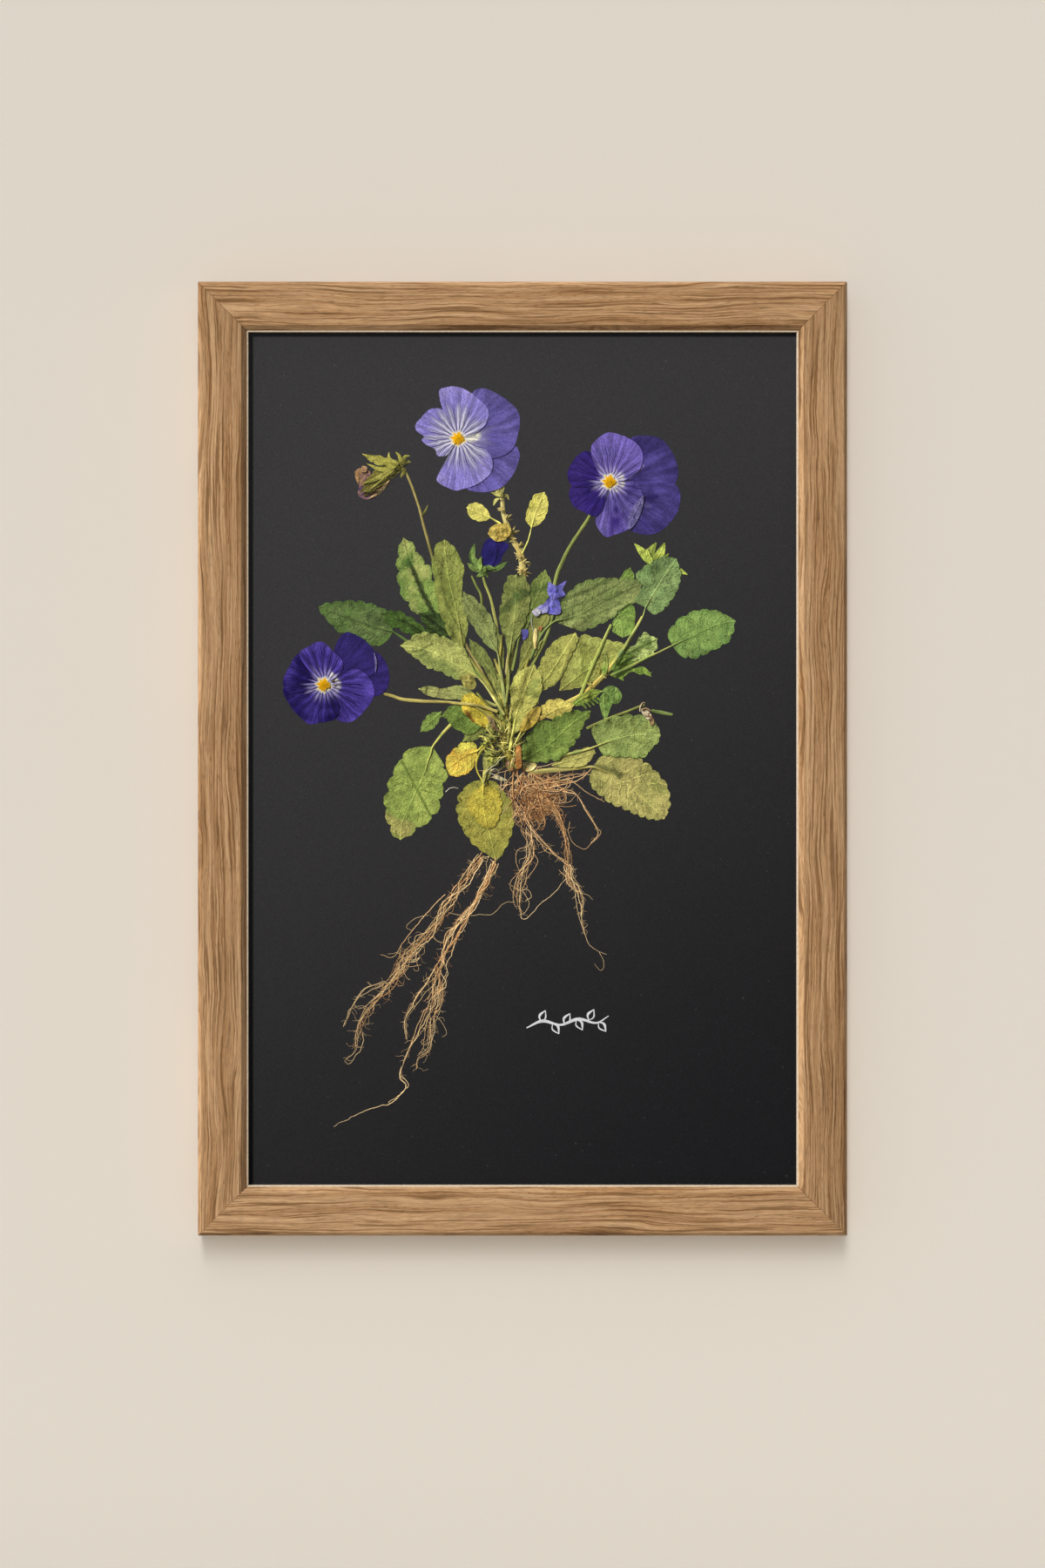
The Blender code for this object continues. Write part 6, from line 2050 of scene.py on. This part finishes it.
def lay_third_layers():
    """The leaves that lie over the crown."""
    blade(
        "leaf_narrow_centre", "leaf_light", (-12.5, 53), (-29.5, 83.5),
        [(-19.5, 58), (-24, 64.5), (-28.5, 71.5), (-31, 77.5)],
        [(-13, 64.5), (-17, 74), (-20.5, 77.5), (-25, 81.5)], tone(164, 170, 100), tone(136, 148, 86),
        mid=[(-19.5, 64.5), (-26, 75.5)], petiole=[(-10, 38), (-8.5, 26)], teeth=5, bite=0.7, seed=51,
        show=0.66, marks=[([(-27, 80), (-20, 72), (-15, 60)], 0.8, tone(106, 116, 60), 0.6)], rows=60,
        columns=23,
    )
    blade(
        "leaf_torn_top", "leaf_light", (-7, 49.5), (-3, 92),
        [(-8, 56.5), (-12, 70), (-10.5, 81.5), (-9.5, 86.5), (-7.5, 91.5)],
        [(-3.5, 57.5), (-0.5, 63.5), (3.5, 74), (4, 85), (1.5, 91.5)], tone(150, 154, 84),
        tone(132, 142, 74), mid=[(-5.5, 59), (-3.5, 76)], petiole=[(-7, 39), (-8, 28)], teeth=7, bite=0.8,
        seed=52, show=0.68, width=1.3,
        marks=[
            ([(-19, 70), (-12, 73), (-4.5, 78.5), (3, 83)], 2.6, tone(76, 94, 46), 0.75),
            ([(-3, 82), (1, 84), (4, 82)], 2.0, tone(82, 102, 50), 0.7),
        ],
        rows=70, columns=25,
    )
    blade(
        "leaf_right_dark", "leaf_green", (16, 68.5), (60, 88),
        [(17.5, 75), (22.5, 83), (28.5, 88), (37, 90.5), (48.5, 90.5), (55.5, 90.5)],
        [(22.5, 66), (30, 63.5), (37, 66), (45, 70), (51, 75.5), (57, 78.5)], tone(134, 150, 84),
        tone(162, 170, 102), mid=[(28, 72), (43, 80)], teeth=8, bite=0.8, veins=9, seed=53, show=0.42,
        rim=tone(108, 134, 66), rows=90, columns=33, petiole=[(10, 63), (4, 50)],
        marks=[
            ([(22, 80), (32, 84), (44, 90)], 1.3, tone(88, 102, 52), 0.7),
            ([(20, 74), (34, 80), (46, 86)], 0.6, tone(92, 108, 56), 0.7),
            ([(18, 69), (31, 75), (50, 84)], 0.7, tone(94, 110, 56), 0.6),
            ([(22, 69), (36, 72), (50, 78)], 0.6, tone(102, 116, 62), 0.6),
        ],
    )
    blade(
        "leaf_far_right", "leaf_green", (75, 56.5), (106.5, 69),
        [(72.5, 62), (76.5, 69), (85, 74), (91.5, 75), (99.5, 73.5)],
        [(77.5, 53), (81.5, 50), (87.5, 50), (94.5, 53.5), (102.5, 57.5), (105.5, 62.5)],
        tone(150, 180, 94), tone(126, 158, 84), mid=[(86.5, 62), (97.5, 67)],
        petiole=[(64.5, 51.5), (55.5, 47), (44, 41.5)], teeth=6, bite=0.9, seed=54, show=0.6,
        stem=tone(206, 202, 112), rim=tone(108, 144, 68),
        marks=[
            ([(86, 53), (90, 53.5)], 3.0, tone(94, 120, 68), 0.6),
            ([(74, 57), (86.5, 62), (96, 66.5)], 0.9, tone(114, 138, 68), 0.6),
        ],
    )
    blade(
        "leaf_low_spotted", "leaf_light", (37.5, 6.5), (69, 11.5),
        [(34.5, 15), (40.5, 19.5), (51, 22.5), (59.5, 22), (64.5, 20.5), (68, 16.5)],
        [(40.5, 2), (51.5, 0.5), (61, 0.5), (64.5, 4.5), (68, 8)], tone(176, 190, 106), tone(154, 172, 94),
        mid=[(47.5, 10), (58, 12)], petiole=[(30, 4), (21.5, 2), (12, 0)], teeth=7, bite=0.9, seed=55,
        show=0.64, stem=tone(232, 224, 124), rim=tone(134, 160, 76),
        marks=[
            ([(48, 17), (50, 16)], 2.0, tone(126, 138, 68), 0.6),
            ([(55, 19), (56.5, 15)], 2.2, tone(132, 140, 70), 0.6),
            ([(57, 9), (60, 8)], 1.8, tone(126, 138, 68), 0.6),
            ([(46, 8), (47, 6)], 1.6, tone(134, 144, 72), 0.5),
            ([(60, 14), (62, 17)], 1.8, tone(134, 142, 72), 0.5),
            ([(51, 6), (53, 4.5)], 1.4, tone(128, 140, 70), 0.5),
        ],
    )


def lay_flower_top():
    """The pale blue flower: five petals, from the back ones to the front ones."""
    flower = Piece("pressed_flower_top", "flower_top", slot="petal_blue")
    eye = (-32.0, 160.0)
    back, back_dark = tone(112, 100, 168), tone(98, 88, 156)
    front, light = tone(146, 134, 208), tone(166, 154, 218)
    kind = "petal_blue"
    patch = [([(-29.5, 160.7), (-23.6, 161)], 3.0, tone(252, 246, 206), 1.0)]
    for outline, main, other, seed, show, marks in (
        (
            [
                (-3, 156), (-1.5, 151), (-3.5, 143.5), (-9, 137), (-14.5, 134), (-22.5, 133), (-29, 136),
                (-31, 146),
            ],
            back, back_dark, 3, 0.35,
            patch + [([(-7.2, 144.7), (-7.0, 144.4)], 0.3, tone(240, 238, 246), 0.8)],
        ),
        (
            [
                (-26, 176), (-24.5, 183.5), (-18.5, 184.7), (-8.5, 180), (-2.5, 173), (-1.3, 166),
                (-3.5, 157.5), (-8, 152.5), (-16, 149.5),
            ],
            back, back_dark, 4, 0.35, patch,
        ),
        (
            [
                (-33.5, 156.5), (-39, 147.5), (-43, 139), (-38, 136), (-33, 134), (-26.5, 135.5),
                (-19.5, 139.5), (-15.3, 143.5), (-15, 149), (-18, 154), (-25, 157.8),
            ],
            front, light, 5, 1.0, patch,
        ),
        (
            [
                (-34, 158), (-38, 151.5), (-42.5, 151.5), (-43.5, 154.5), (-48.5, 157), (-50.5, 159.5),
                (-49, 161), (-52.5, 163.5), (-53.5, 167), (-50.5, 171), (-45.5, 174.7), (-40.5, 174.7),
                (-36.5, 170), (-34, 164),
            ],
            light, front, 6, 1.0, (),
        ),
        (
            [
                (-34, 163), (-37.5, 169), (-40.5, 176.5), (-41.5, 184.5), (-38, 186), (-34, 186),
                (-25, 182.5), (-20, 178), (-17, 173), (-18.5, 167), (-24, 162),
            ],
            front, light, 7, 1.0, patch,
        ),
    ):
        petal(flower, kind, eye, outline, main, other, seed, show=show, marks=marks)
    disc(flower, kind, eye, radius=2.6, deep=0.25, tint=front)


def lay_flower_right():
    """The violet flower, its petals from the back ones to the front ones."""
    flower = Piece("pressed_flower_right", "flower_right", slot="petal_violet")
    eye = (43.8, 138.5)
    kind = "petal_violet"
    patch = [([(48, 141.5), (49.2, 138), (47.5, 134.8)], 2.4, tone(250, 244, 200), 0.95)]
    back, back_dark = tone(84, 72, 142), tone(62, 52, 112)
    deep, mid_violet = tone(54, 36, 116), tone(126, 106, 192)
    low, low_dark = tone(126, 110, 188), tone(62, 44, 122)
    crease = tone(152, 138, 198)
    shadow = tone(54, 40, 106)
    folds_high = [
        ([(56.5, 158.5), (59, 155), (61.5, 151.5)], 2.2, shadow, 0.6),
        ([(52.5, 139.5), (56, 142), (60.5, 146.5)], 0.7, crease, 0.8),
    ]
    folds_low = [
        ([(60.5, 129.5), (63.5, 130.5), (67, 131)], 1.7, shadow, 0.9),
        ([(56, 121.2), (60.5, 117.5), (64.5, 113.5)], 0.7, shadow, 0.85),
        ([(57, 125), (60, 127), (63.5, 126)], 1.6, crease, 0.2),
    ]
    for outline, main, other, seed, show, marks in (
        (
            [
                (52, 152), (54.5, 160.5), (60.5, 161.7), (68, 160), (75, 153.5), (77.5, 147.5), (77, 140),
                (73, 134), (64, 131),
            ],
            back, back_dark, 8, 0.4, patch + folds_high,
        ),
        (
            [
                (62, 137), (76, 137), (78.5, 132), (77.5, 122.5), (71, 115.5), (64.5, 112.5), (58.5, 112.3),
                (53, 114.5), (49, 124),
            ],
            back, back_dark, 9, 0.4, patch + folds_low,
        ),
        (
            [
                (41, 134), (37.5, 125), (36.5, 118), (37.5, 115.5), (41.5, 111.3), (46, 112), (53, 114.5),
                (56.5, 122.5), (60, 131), (57, 138), (50, 139),
            ],
            low, low_dark, 10, 1.0, patch,
        ),
        (
            [
                (40, 137), (33, 135.5), (25, 136.5), (23, 132), (25.5, 126.5), (29.5, 124), (35.5, 121),
                (39.5, 124), (42.5, 133),
            ],
            deep, low_dark, 11, 1.0, (),
        ),
        (
            [
                (43, 142), (39, 149), (32.5, 153.7), (26.5, 150.5), (23, 144.5), (23, 140), (25, 136.3),
                (34, 136), (40, 137.5),
            ],
            deep, low_dark, 12, 1.0, (),
        ),
        (
            [
                (40.5, 139), (36.5, 146), (34.5, 152), (35, 157.5), (42, 162.7), (48, 162), (53, 160.5),
                (58.5, 155.5), (60.3, 149.5), (58, 143.5), (50, 138.5),
            ],
            mid_violet, low, 13, 1.0, patch,
        ),
    ):
        petal(flower, kind, eye, outline, main, other, seed, show=show, marks=marks)
    lance(
        flower, [(53.2, 114.6), (56, 122), (60.5, 131.5)], 5.2, tone(134, 124, 176), tone(112, 102, 160), 6,
    )
    disc(flower, kind, eye, radius=2.7, deep=0.25, tint=deep)


def lay_flower_left():
    """The dark flower, its petals from the back ones to the front ones."""
    flower = Piece("pressed_flower_left", "flower_left", slot="petal_dark")
    eye = (-99.0, 37.0)
    kind = "petal_dark"
    patch = [([(-95.6, 40.8), (-93.2, 38.4), (-94, 34.6)], 2.5, tone(252, 248, 214), 1.0)]
    back, back_dark = tone(58, 44, 118), tone(48, 36, 100)
    deep, lit = tone(30, 14, 88), tone(78, 60, 156)
    upper = tone(98, 78, 178)
    for outline, main, other, seed, show, marks in (
        (
            [(-86, 48), (-78, 53), (-74, 53.6), (-69, 50), (-66.8, 44), (-68, 35), (-72, 31.5), (-84, 31)],
            back, back_dark, 14, 0.5, (),
        ),
        (
            [
                (-94, 50), (-93.5, 56.5), (-88.5, 63), (-82, 61.7), (-77, 57.5), (-74.3, 53), (-73.5, 44),
                (-82, 37),
            ],
            back, back_dark, 15, 0.45, patch,
        ),
        (
            [
                (-96, 33), (-94.5, 25), (-93.5, 20), (-87.5, 18.3), (-82, 21), (-76.5, 27), (-74.3, 33.5),
                (-76, 40), (-82, 44.5), (-90, 44),
            ],
            lit, upper, 16, 1.0, patch,
        ),
        (
            [
                (-102, 38), (-109, 36), (-117, 38), (-119.5, 35), (-118.5, 30), (-114, 24), (-107, 17.3),
                (-102, 18.2), (-97, 18.5), (-93.5, 20), (-91.5, 26), (-95.5, 34),
            ],
            deep, lit, 17, 1.0, (),
        ),
        (
            [
                (-100, 41), (-106, 48), (-111, 52.7), (-116, 47.5), (-119, 41), (-119.5, 37), (-117, 33),
                (-108, 34), (-102, 36),
            ],
            deep, lit, 18, 1.0, (),
        ),
        (
            [
                (-102, 38.5), (-107.5, 45), (-111.3, 52.5), (-107, 56.3), (-103.5, 58.2), (-100, 58.2),
                (-95, 54), (-90.5, 49.5), (-90, 45), (-94.5, 39),
            ],
            upper, lit, 19, 1.0, patch,
        ),
    ):
        petal(flower, kind, eye, outline, main, other, seed, show=show, marks=marks)
    lance(
        flower, [(-74.2, 53), (-73.2, 48), (-73.6, 42.5)], 1.0, tone(150, 140, 190), tone(110, 98, 160), 6,
    )
    disc(flower, kind, eye, radius=2.9, deep=0.28, tint=deep)
    for x, z in ((-94.6, 38.8), (-93.6, 36.6)):
        disc(flower, "leaf", (x, z), radius=0.55, deep=0.25, tint=tone(92, 84, 40), rows=4, columns=10)


def lay_top_layers():
    """The leaves and the stem that lie on top of the rest."""
    blade(
        "leaf_centre_front", "leaf_light", (-5, 12), (6, 47), [(-5, 20.5), (-6, 37.5), (-1, 44.5)],
        [(0, 15.5), (5, 24), (9.5, 33), (9.5, 41.5)], tone(218, 212, 112), tone(194, 194, 102),
        mid=[(-2.5, 24), (2.5, 37)], teeth=5, bite=0.5, seed=60, show=0.72, petiole=[(-6.5, 4)],
        marks=[
            ([(4, 33), (7, 38)], 4.0, tone(156, 168, 86), 0.75),
            ([(0, 28), (5, 40)], 0.6, tone(146, 148, 72), 0.6),
        ],
    )
    blade(
        "leaf_round_blue_green", "leaf_green", (61.5, 75.5), (77, 100),
        [(56, 79), (59.5, 86.5), (56, 91), (59, 95), (63.5, 98), (71, 101.5)],
        [(66, 72), (71.5, 75), (76, 81), (78.5, 86.5), (79.5, 93)], tone(154, 178, 110), tone(132, 160, 96),
        mid=[(67, 85), (72.5, 93.5)], petiole=[(60, 71), (53, 59), (46, 48.5)], teeth=8, bite=0.8, seed=61,
        show=0.64, stem=tone(200, 200, 106), rim=tone(120, 148, 82),
        marks=[
            ([(64, 88), (69, 95)], 4.0, tone(122, 146, 86), 0.5),
            ([(63, 76), (67, 85), (73, 95)], 0.8, tone(182, 198, 122), 0.6),
        ],
    )
    stem(
        "stem_of_left_flower",
        [(-70, 33.5), (-69, 32.5), (-64.5, 31.2), (-58.5, 29.5), (-36.5, 28), (-24, 27), (-12.5, 23.5)],
        [1.5, 1.9, 1.5, 1.5, 1.7], tone(222, 204, 118), tone(176, 160, 86), seed=62,
    )
    blade(
        "leaf_left_middle", "leaf_light", (-22.5, 41), (-61, 56.5),
        [(-25, 46), (-29, 55.5), (-34, 59), (-39.5, 61.5), (-45, 63), (-51.5, 63.5), (-57.5, 59.5)],
        [(-28.5, 39), (-35, 40), (-42, 43.5), (-47.5, 45), (-51.5, 48.5), (-57, 52.5)], tone(200, 202, 114),
        tone(182, 188, 102), mid=[(-35, 48), (-48, 54.5)], petiole=[(-16.5, 33.5), (-9, 22)], teeth=8,
        bite=0.9, veins=8, seed=63, show=0.7, stem=tone(230, 220, 128), rim=tone(156, 164, 84), rows=90,
        columns=33,
        marks=[
            ([(-34, 42), (-40, 46), (-46, 49), (-50, 52)], 4.6, tone(144, 160, 86), 0.7),
            ([(-59, 53.5), (-52, 54), (-45, 57.5)], 0.7, tone(118, 126, 62), 0.75),
        ],
    )
    blade(
        "leaf_low_dark", "leaf_green", (0, -0.5), (34, 24),
        [(0, 7), (3, 13.5), (8, 19), (13, 19.5), (19, 22.5), (25, 24.5)],
        [(8, -2), (16.5, -1.5), (21.5, 2), (28.5, 10.5), (31, 17), (33.5, 20)], tone(142, 162, 78),
        tone(124, 148, 68), mid=[(13, 7), (23.5, 16.5)], teeth=8, bite=1.2, veins=9, seed=64, show=0.68,
        rim=tone(112, 136, 58), rows=90, columns=33,
    )


def lay_scraps():
    """Loose bits of petal and leaf that lie over the rest."""
    bits = Piece("pressed_scraps")
    blue, lilac = tone(96, 92, 186), tone(132, 126, 206)
    scrap(
        bits, [(13, 88.5), (17, 86.5), (22, 89), (20, 84.5), (21.5, 82), (14, 80.5), (12.5, 84)], blue,
        lilac, 3, 0.5, "petal_blue", show=0.2,
    )
    scrap(
        bits, [(12, 79), (16, 82), (19.2, 75.5), (18.5, 72.4), (14, 72.3), (10, 75)], blue, lilac, 4, 0.5,
        "petal_blue", show=0.2,
    )
    scrap(
        bits, [(5.4, 73.8), (9, 76.6), (12.4, 77.2), (12.6, 73.4), (9, 72.2), (6.6, 71.4)], lilac,
        tone(182, 178, 224), 5, 0.4, "petal_blue", show=0.2,
    )
    scrap(
        bits, [(4.6, 73.6), (7.4, 75.2), (9.2, 73.4), (6.8, 71)], tone(238, 234, 240), tone(206, 196, 214),
        6, 0.4, rows=8, columns=24,
    )
    scrap(
        bits, [(-0.6, 64.3), (2.4, 64.6), (2.6, 61.4), (0.6, 59.4), (-0.3, 61.6)], blue, lilac, 7, 0.4,
        "petal_blue", rows=8, columns=24, show=0.2,
    )
    stalk(
        bits, [(4.6, 72.5), (4.4, 68), (5.8, 63)], [0.4, 0.5, 0.4], tone(206, 206, 190),
        tone(170, 170, 160), seed=5, deep=0.2,
    )
    stalk(
        bits, [(7.0, 65), (6.2, 60), (6.4, 55)], [1.6, 2.2, 1.2], tone(244, 224, 150), tone(222, 196, 120),
        seed=6, deep=0.4,
    )
    scrap(
        bits, [(7.8, 66), (9.8, 66.2), (9.6, 64.4), (8.4, 63.8)], tone(222, 168, 104), tone(200, 136, 80),
        8, 0.5, rows=8, columns=20,
    )
    scrap(
        bits, [(1, 20), (4.5, 24.6), (8.8, 26), (8.4, 21), (5.5, 16.5), (1.5, 14), (-1.5, 13.5), (-1, 17)],
        tone(218, 186, 72), tone(196, 170, 84), 9, 0.6,
    )
    scrap(
        bits, [(-31.5, 41), (-26.5, 42.5), (-23, 37), (-25, 34.5), (-29, 36)], tone(200, 186, 100),
        tone(168, 160, 84), 10, 0.5,
    )
    straw, honey = tone(228, 204, 104), tone(206, 176, 84)
    scrap(
        bits,
        [
            (-17.6, 112.6), (-15.5, 116), (-11.5, 117.6), (-7, 116), (-6.4, 111.5), (-9.5, 109),
            (-13.5, 108.6),
        ],
        straw, honey, 11, 0.7,
    )
    scrap(bits, [(-12, 116), (-8, 117.5), (-5.5, 114), (-8, 110.5), (-11, 112)], honey, straw, 12, 0.7)
    beige, drab = tone(238, 220, 182), tone(170, 138, 100)
    scrap(
        bits, [(59, 24.4), (61.2, 25.6), (63.4, 23.2), (65, 20.6), (62.8, 19.6), (60.4, 21.6)], drab, beige,
        13, 0.9,
    )
    scrap(
        bits, [(63.4, 19.8), (65.2, 20.6), (65.6, 17.2), (63.8, 16.6)], tone(150, 140, 84), drab, 15, 0.6,
        rows=8, columns=20,
    )
    stalk(
        bits, [(58.8, 23.6), (59, 26), (60.4, 28.2), (61.4, 27.8)], [0.6, 0.8, 0.4], beige, drab, seed=7,
        deep=0.4,
    )
    stalk(bits, [(59.4, 24.6), (62, 25.2), (64.4, 23.8)], [0.8, 0.9, 0.4], beige, drab, seed=8, deep=0.4)
    scrap(
        bits, [(-3.4, 6.6), (-1.4, 7), (-0.6, 1), (-0.9, -4.6), (-2.8, -5), (-3.5, 1)], tone(234, 176, 96),
        tone(200, 132, 68), 17, 0.5, rows=20, columns=16,
    )
    bark, wax = tone(168, 148, 104), tone(120, 98, 66)
    scrap(
        bits, [(-18, 21.5), (-15.4, 20.6), (-13, 16), (-11.5, 13.5), (-14.2, 14.2), (-16.5, 17.6)], bark,
        wax, 14, 0.8,
    )
    pale = tone(240, 234, 208)
    for points in (
        [(-18.5, -7.5), (-14, -3), (-9, 1)], [(-17, -7), (-13.5, -8), (-10, -9.5)],
        [(-16, -6), (-13, -5), (-11.5, -7)], [(-38.5, -16.5), (-36, -14.5), (-32, -15)],
    ):
        strand(bits, points, [0.16, 0.1], pale, seed=int(CHANCE.integers(1, 99)))
    scrap(
        bits, [(-15.4, -9.4), (-13, -8), (-10, -9.4), (-7.6, -10.6), (-10.5, -11)], tone(236, 228, 190),
        tone(196, 186, 140), 16, 0.6, rows=8, columns=24,
    )


def lay_ink_sprig():
    """A small flourish in white ink: a wavy stem with paired leaves. It carries no letters."""
    ink = Piece("ink_sprig")

    def stroke(points, widths):
        rows = 26
        path = smooth(points, rows)
        width = np.interp(np.linspace(0, 1, rows), np.linspace(0, 1, len(widths)), widths)
        t = np.array([-1.0, 0.0, 1.0])
        grid = path[:, None] + sideways(path)[:, None] * (width[:, None] / 2 * t[None])[..., None]
        lay(ink, grid, 0.03, 0.0, "ink", (1.0, 1.0, 1.0, 1.0), rounds=1)

    stroke(
        [(2, -134.5), (10, -131), (19, -133), (28, -130), (37, -132), (43, -128.5)],
        [0.5, 1.6, 1.0, 1.6, 1.0, 0.4],
    )
    for x, z, turn in (
        (9, -131.2, 1.15), (15, -132.4, -1.0), (21, -132.6, 1.1), (27, -130.4, -1.05), (33, -130.6, 1.1),
        (38, -131.6, -0.9),
    ):
        heading = turn
        tip = (x + 6.0 * math.cos(heading), z + 6.0 * math.sin(heading))
        bow = (x + 2.8 * math.cos(heading + 0.6), z + 2.8 * math.sin(heading + 0.6))
        other_bow = (x + 2.8 * math.cos(heading - 0.6), z + 2.8 * math.sin(heading - 0.6))
        stroke([(x, z), bow, tip], [0.4, 1.3, 0.4])
        stroke([tip, other_bow, (x, z)], [0.4, 0.75, 0.35])


FINISHES = {}


def build_plant():
    """Lays the plant from the lowest layer up, then builds each piece's mesh."""
    FINISHES["leaf"] = leaf_finish()
    FINISHES["stalk"] = stalk_finish()
    FINISHES["root"] = root_finish()
    FINISHES["ink"] = ink_finish()
    for name, dark, pale, pale_reach, vein_reach, vein_strength in (
        ("petal_blue", tone(58, 40, 124), tone(240, 236, 248), 18.5, 16.0, 0.9),
        ("petal_violet", tone(26, 12, 78), tone(194, 182, 228), 9.5, 18.0, 0.75),
        ("petal_dark", tone(14, 6, 58), tone(182, 168, 226), 10.0, 20.0, 0.9),
    ):
        FINISHES[name] = petal_finish(name, dark, pale, pale_reach, vein_reach, vein_strength)
    lay_roots()
    lay_lowest()
    lay_top_shoot()
    lay_buds()
    lay_wilted_flower()
    lay_low_layers()
    lay_second_layers()
    lay_crown()
    lay_flower_top()
    lay_flower_right()
    lay_third_layers()
    lay_top_layers()
    lay_flower_left()
    lay_scraps()
    lay_ink_sprig()
    for piece in Piece.made.values():
        piece.build()


def main():
    bpy.context.scene.view_settings.view_transform = "Standard"
    build_camera()
    build_world()
    stage = build_stage()
    build_rails()
    finish_frame_nodes()
    build_plant()
    build_lights(stage)
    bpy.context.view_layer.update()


main()
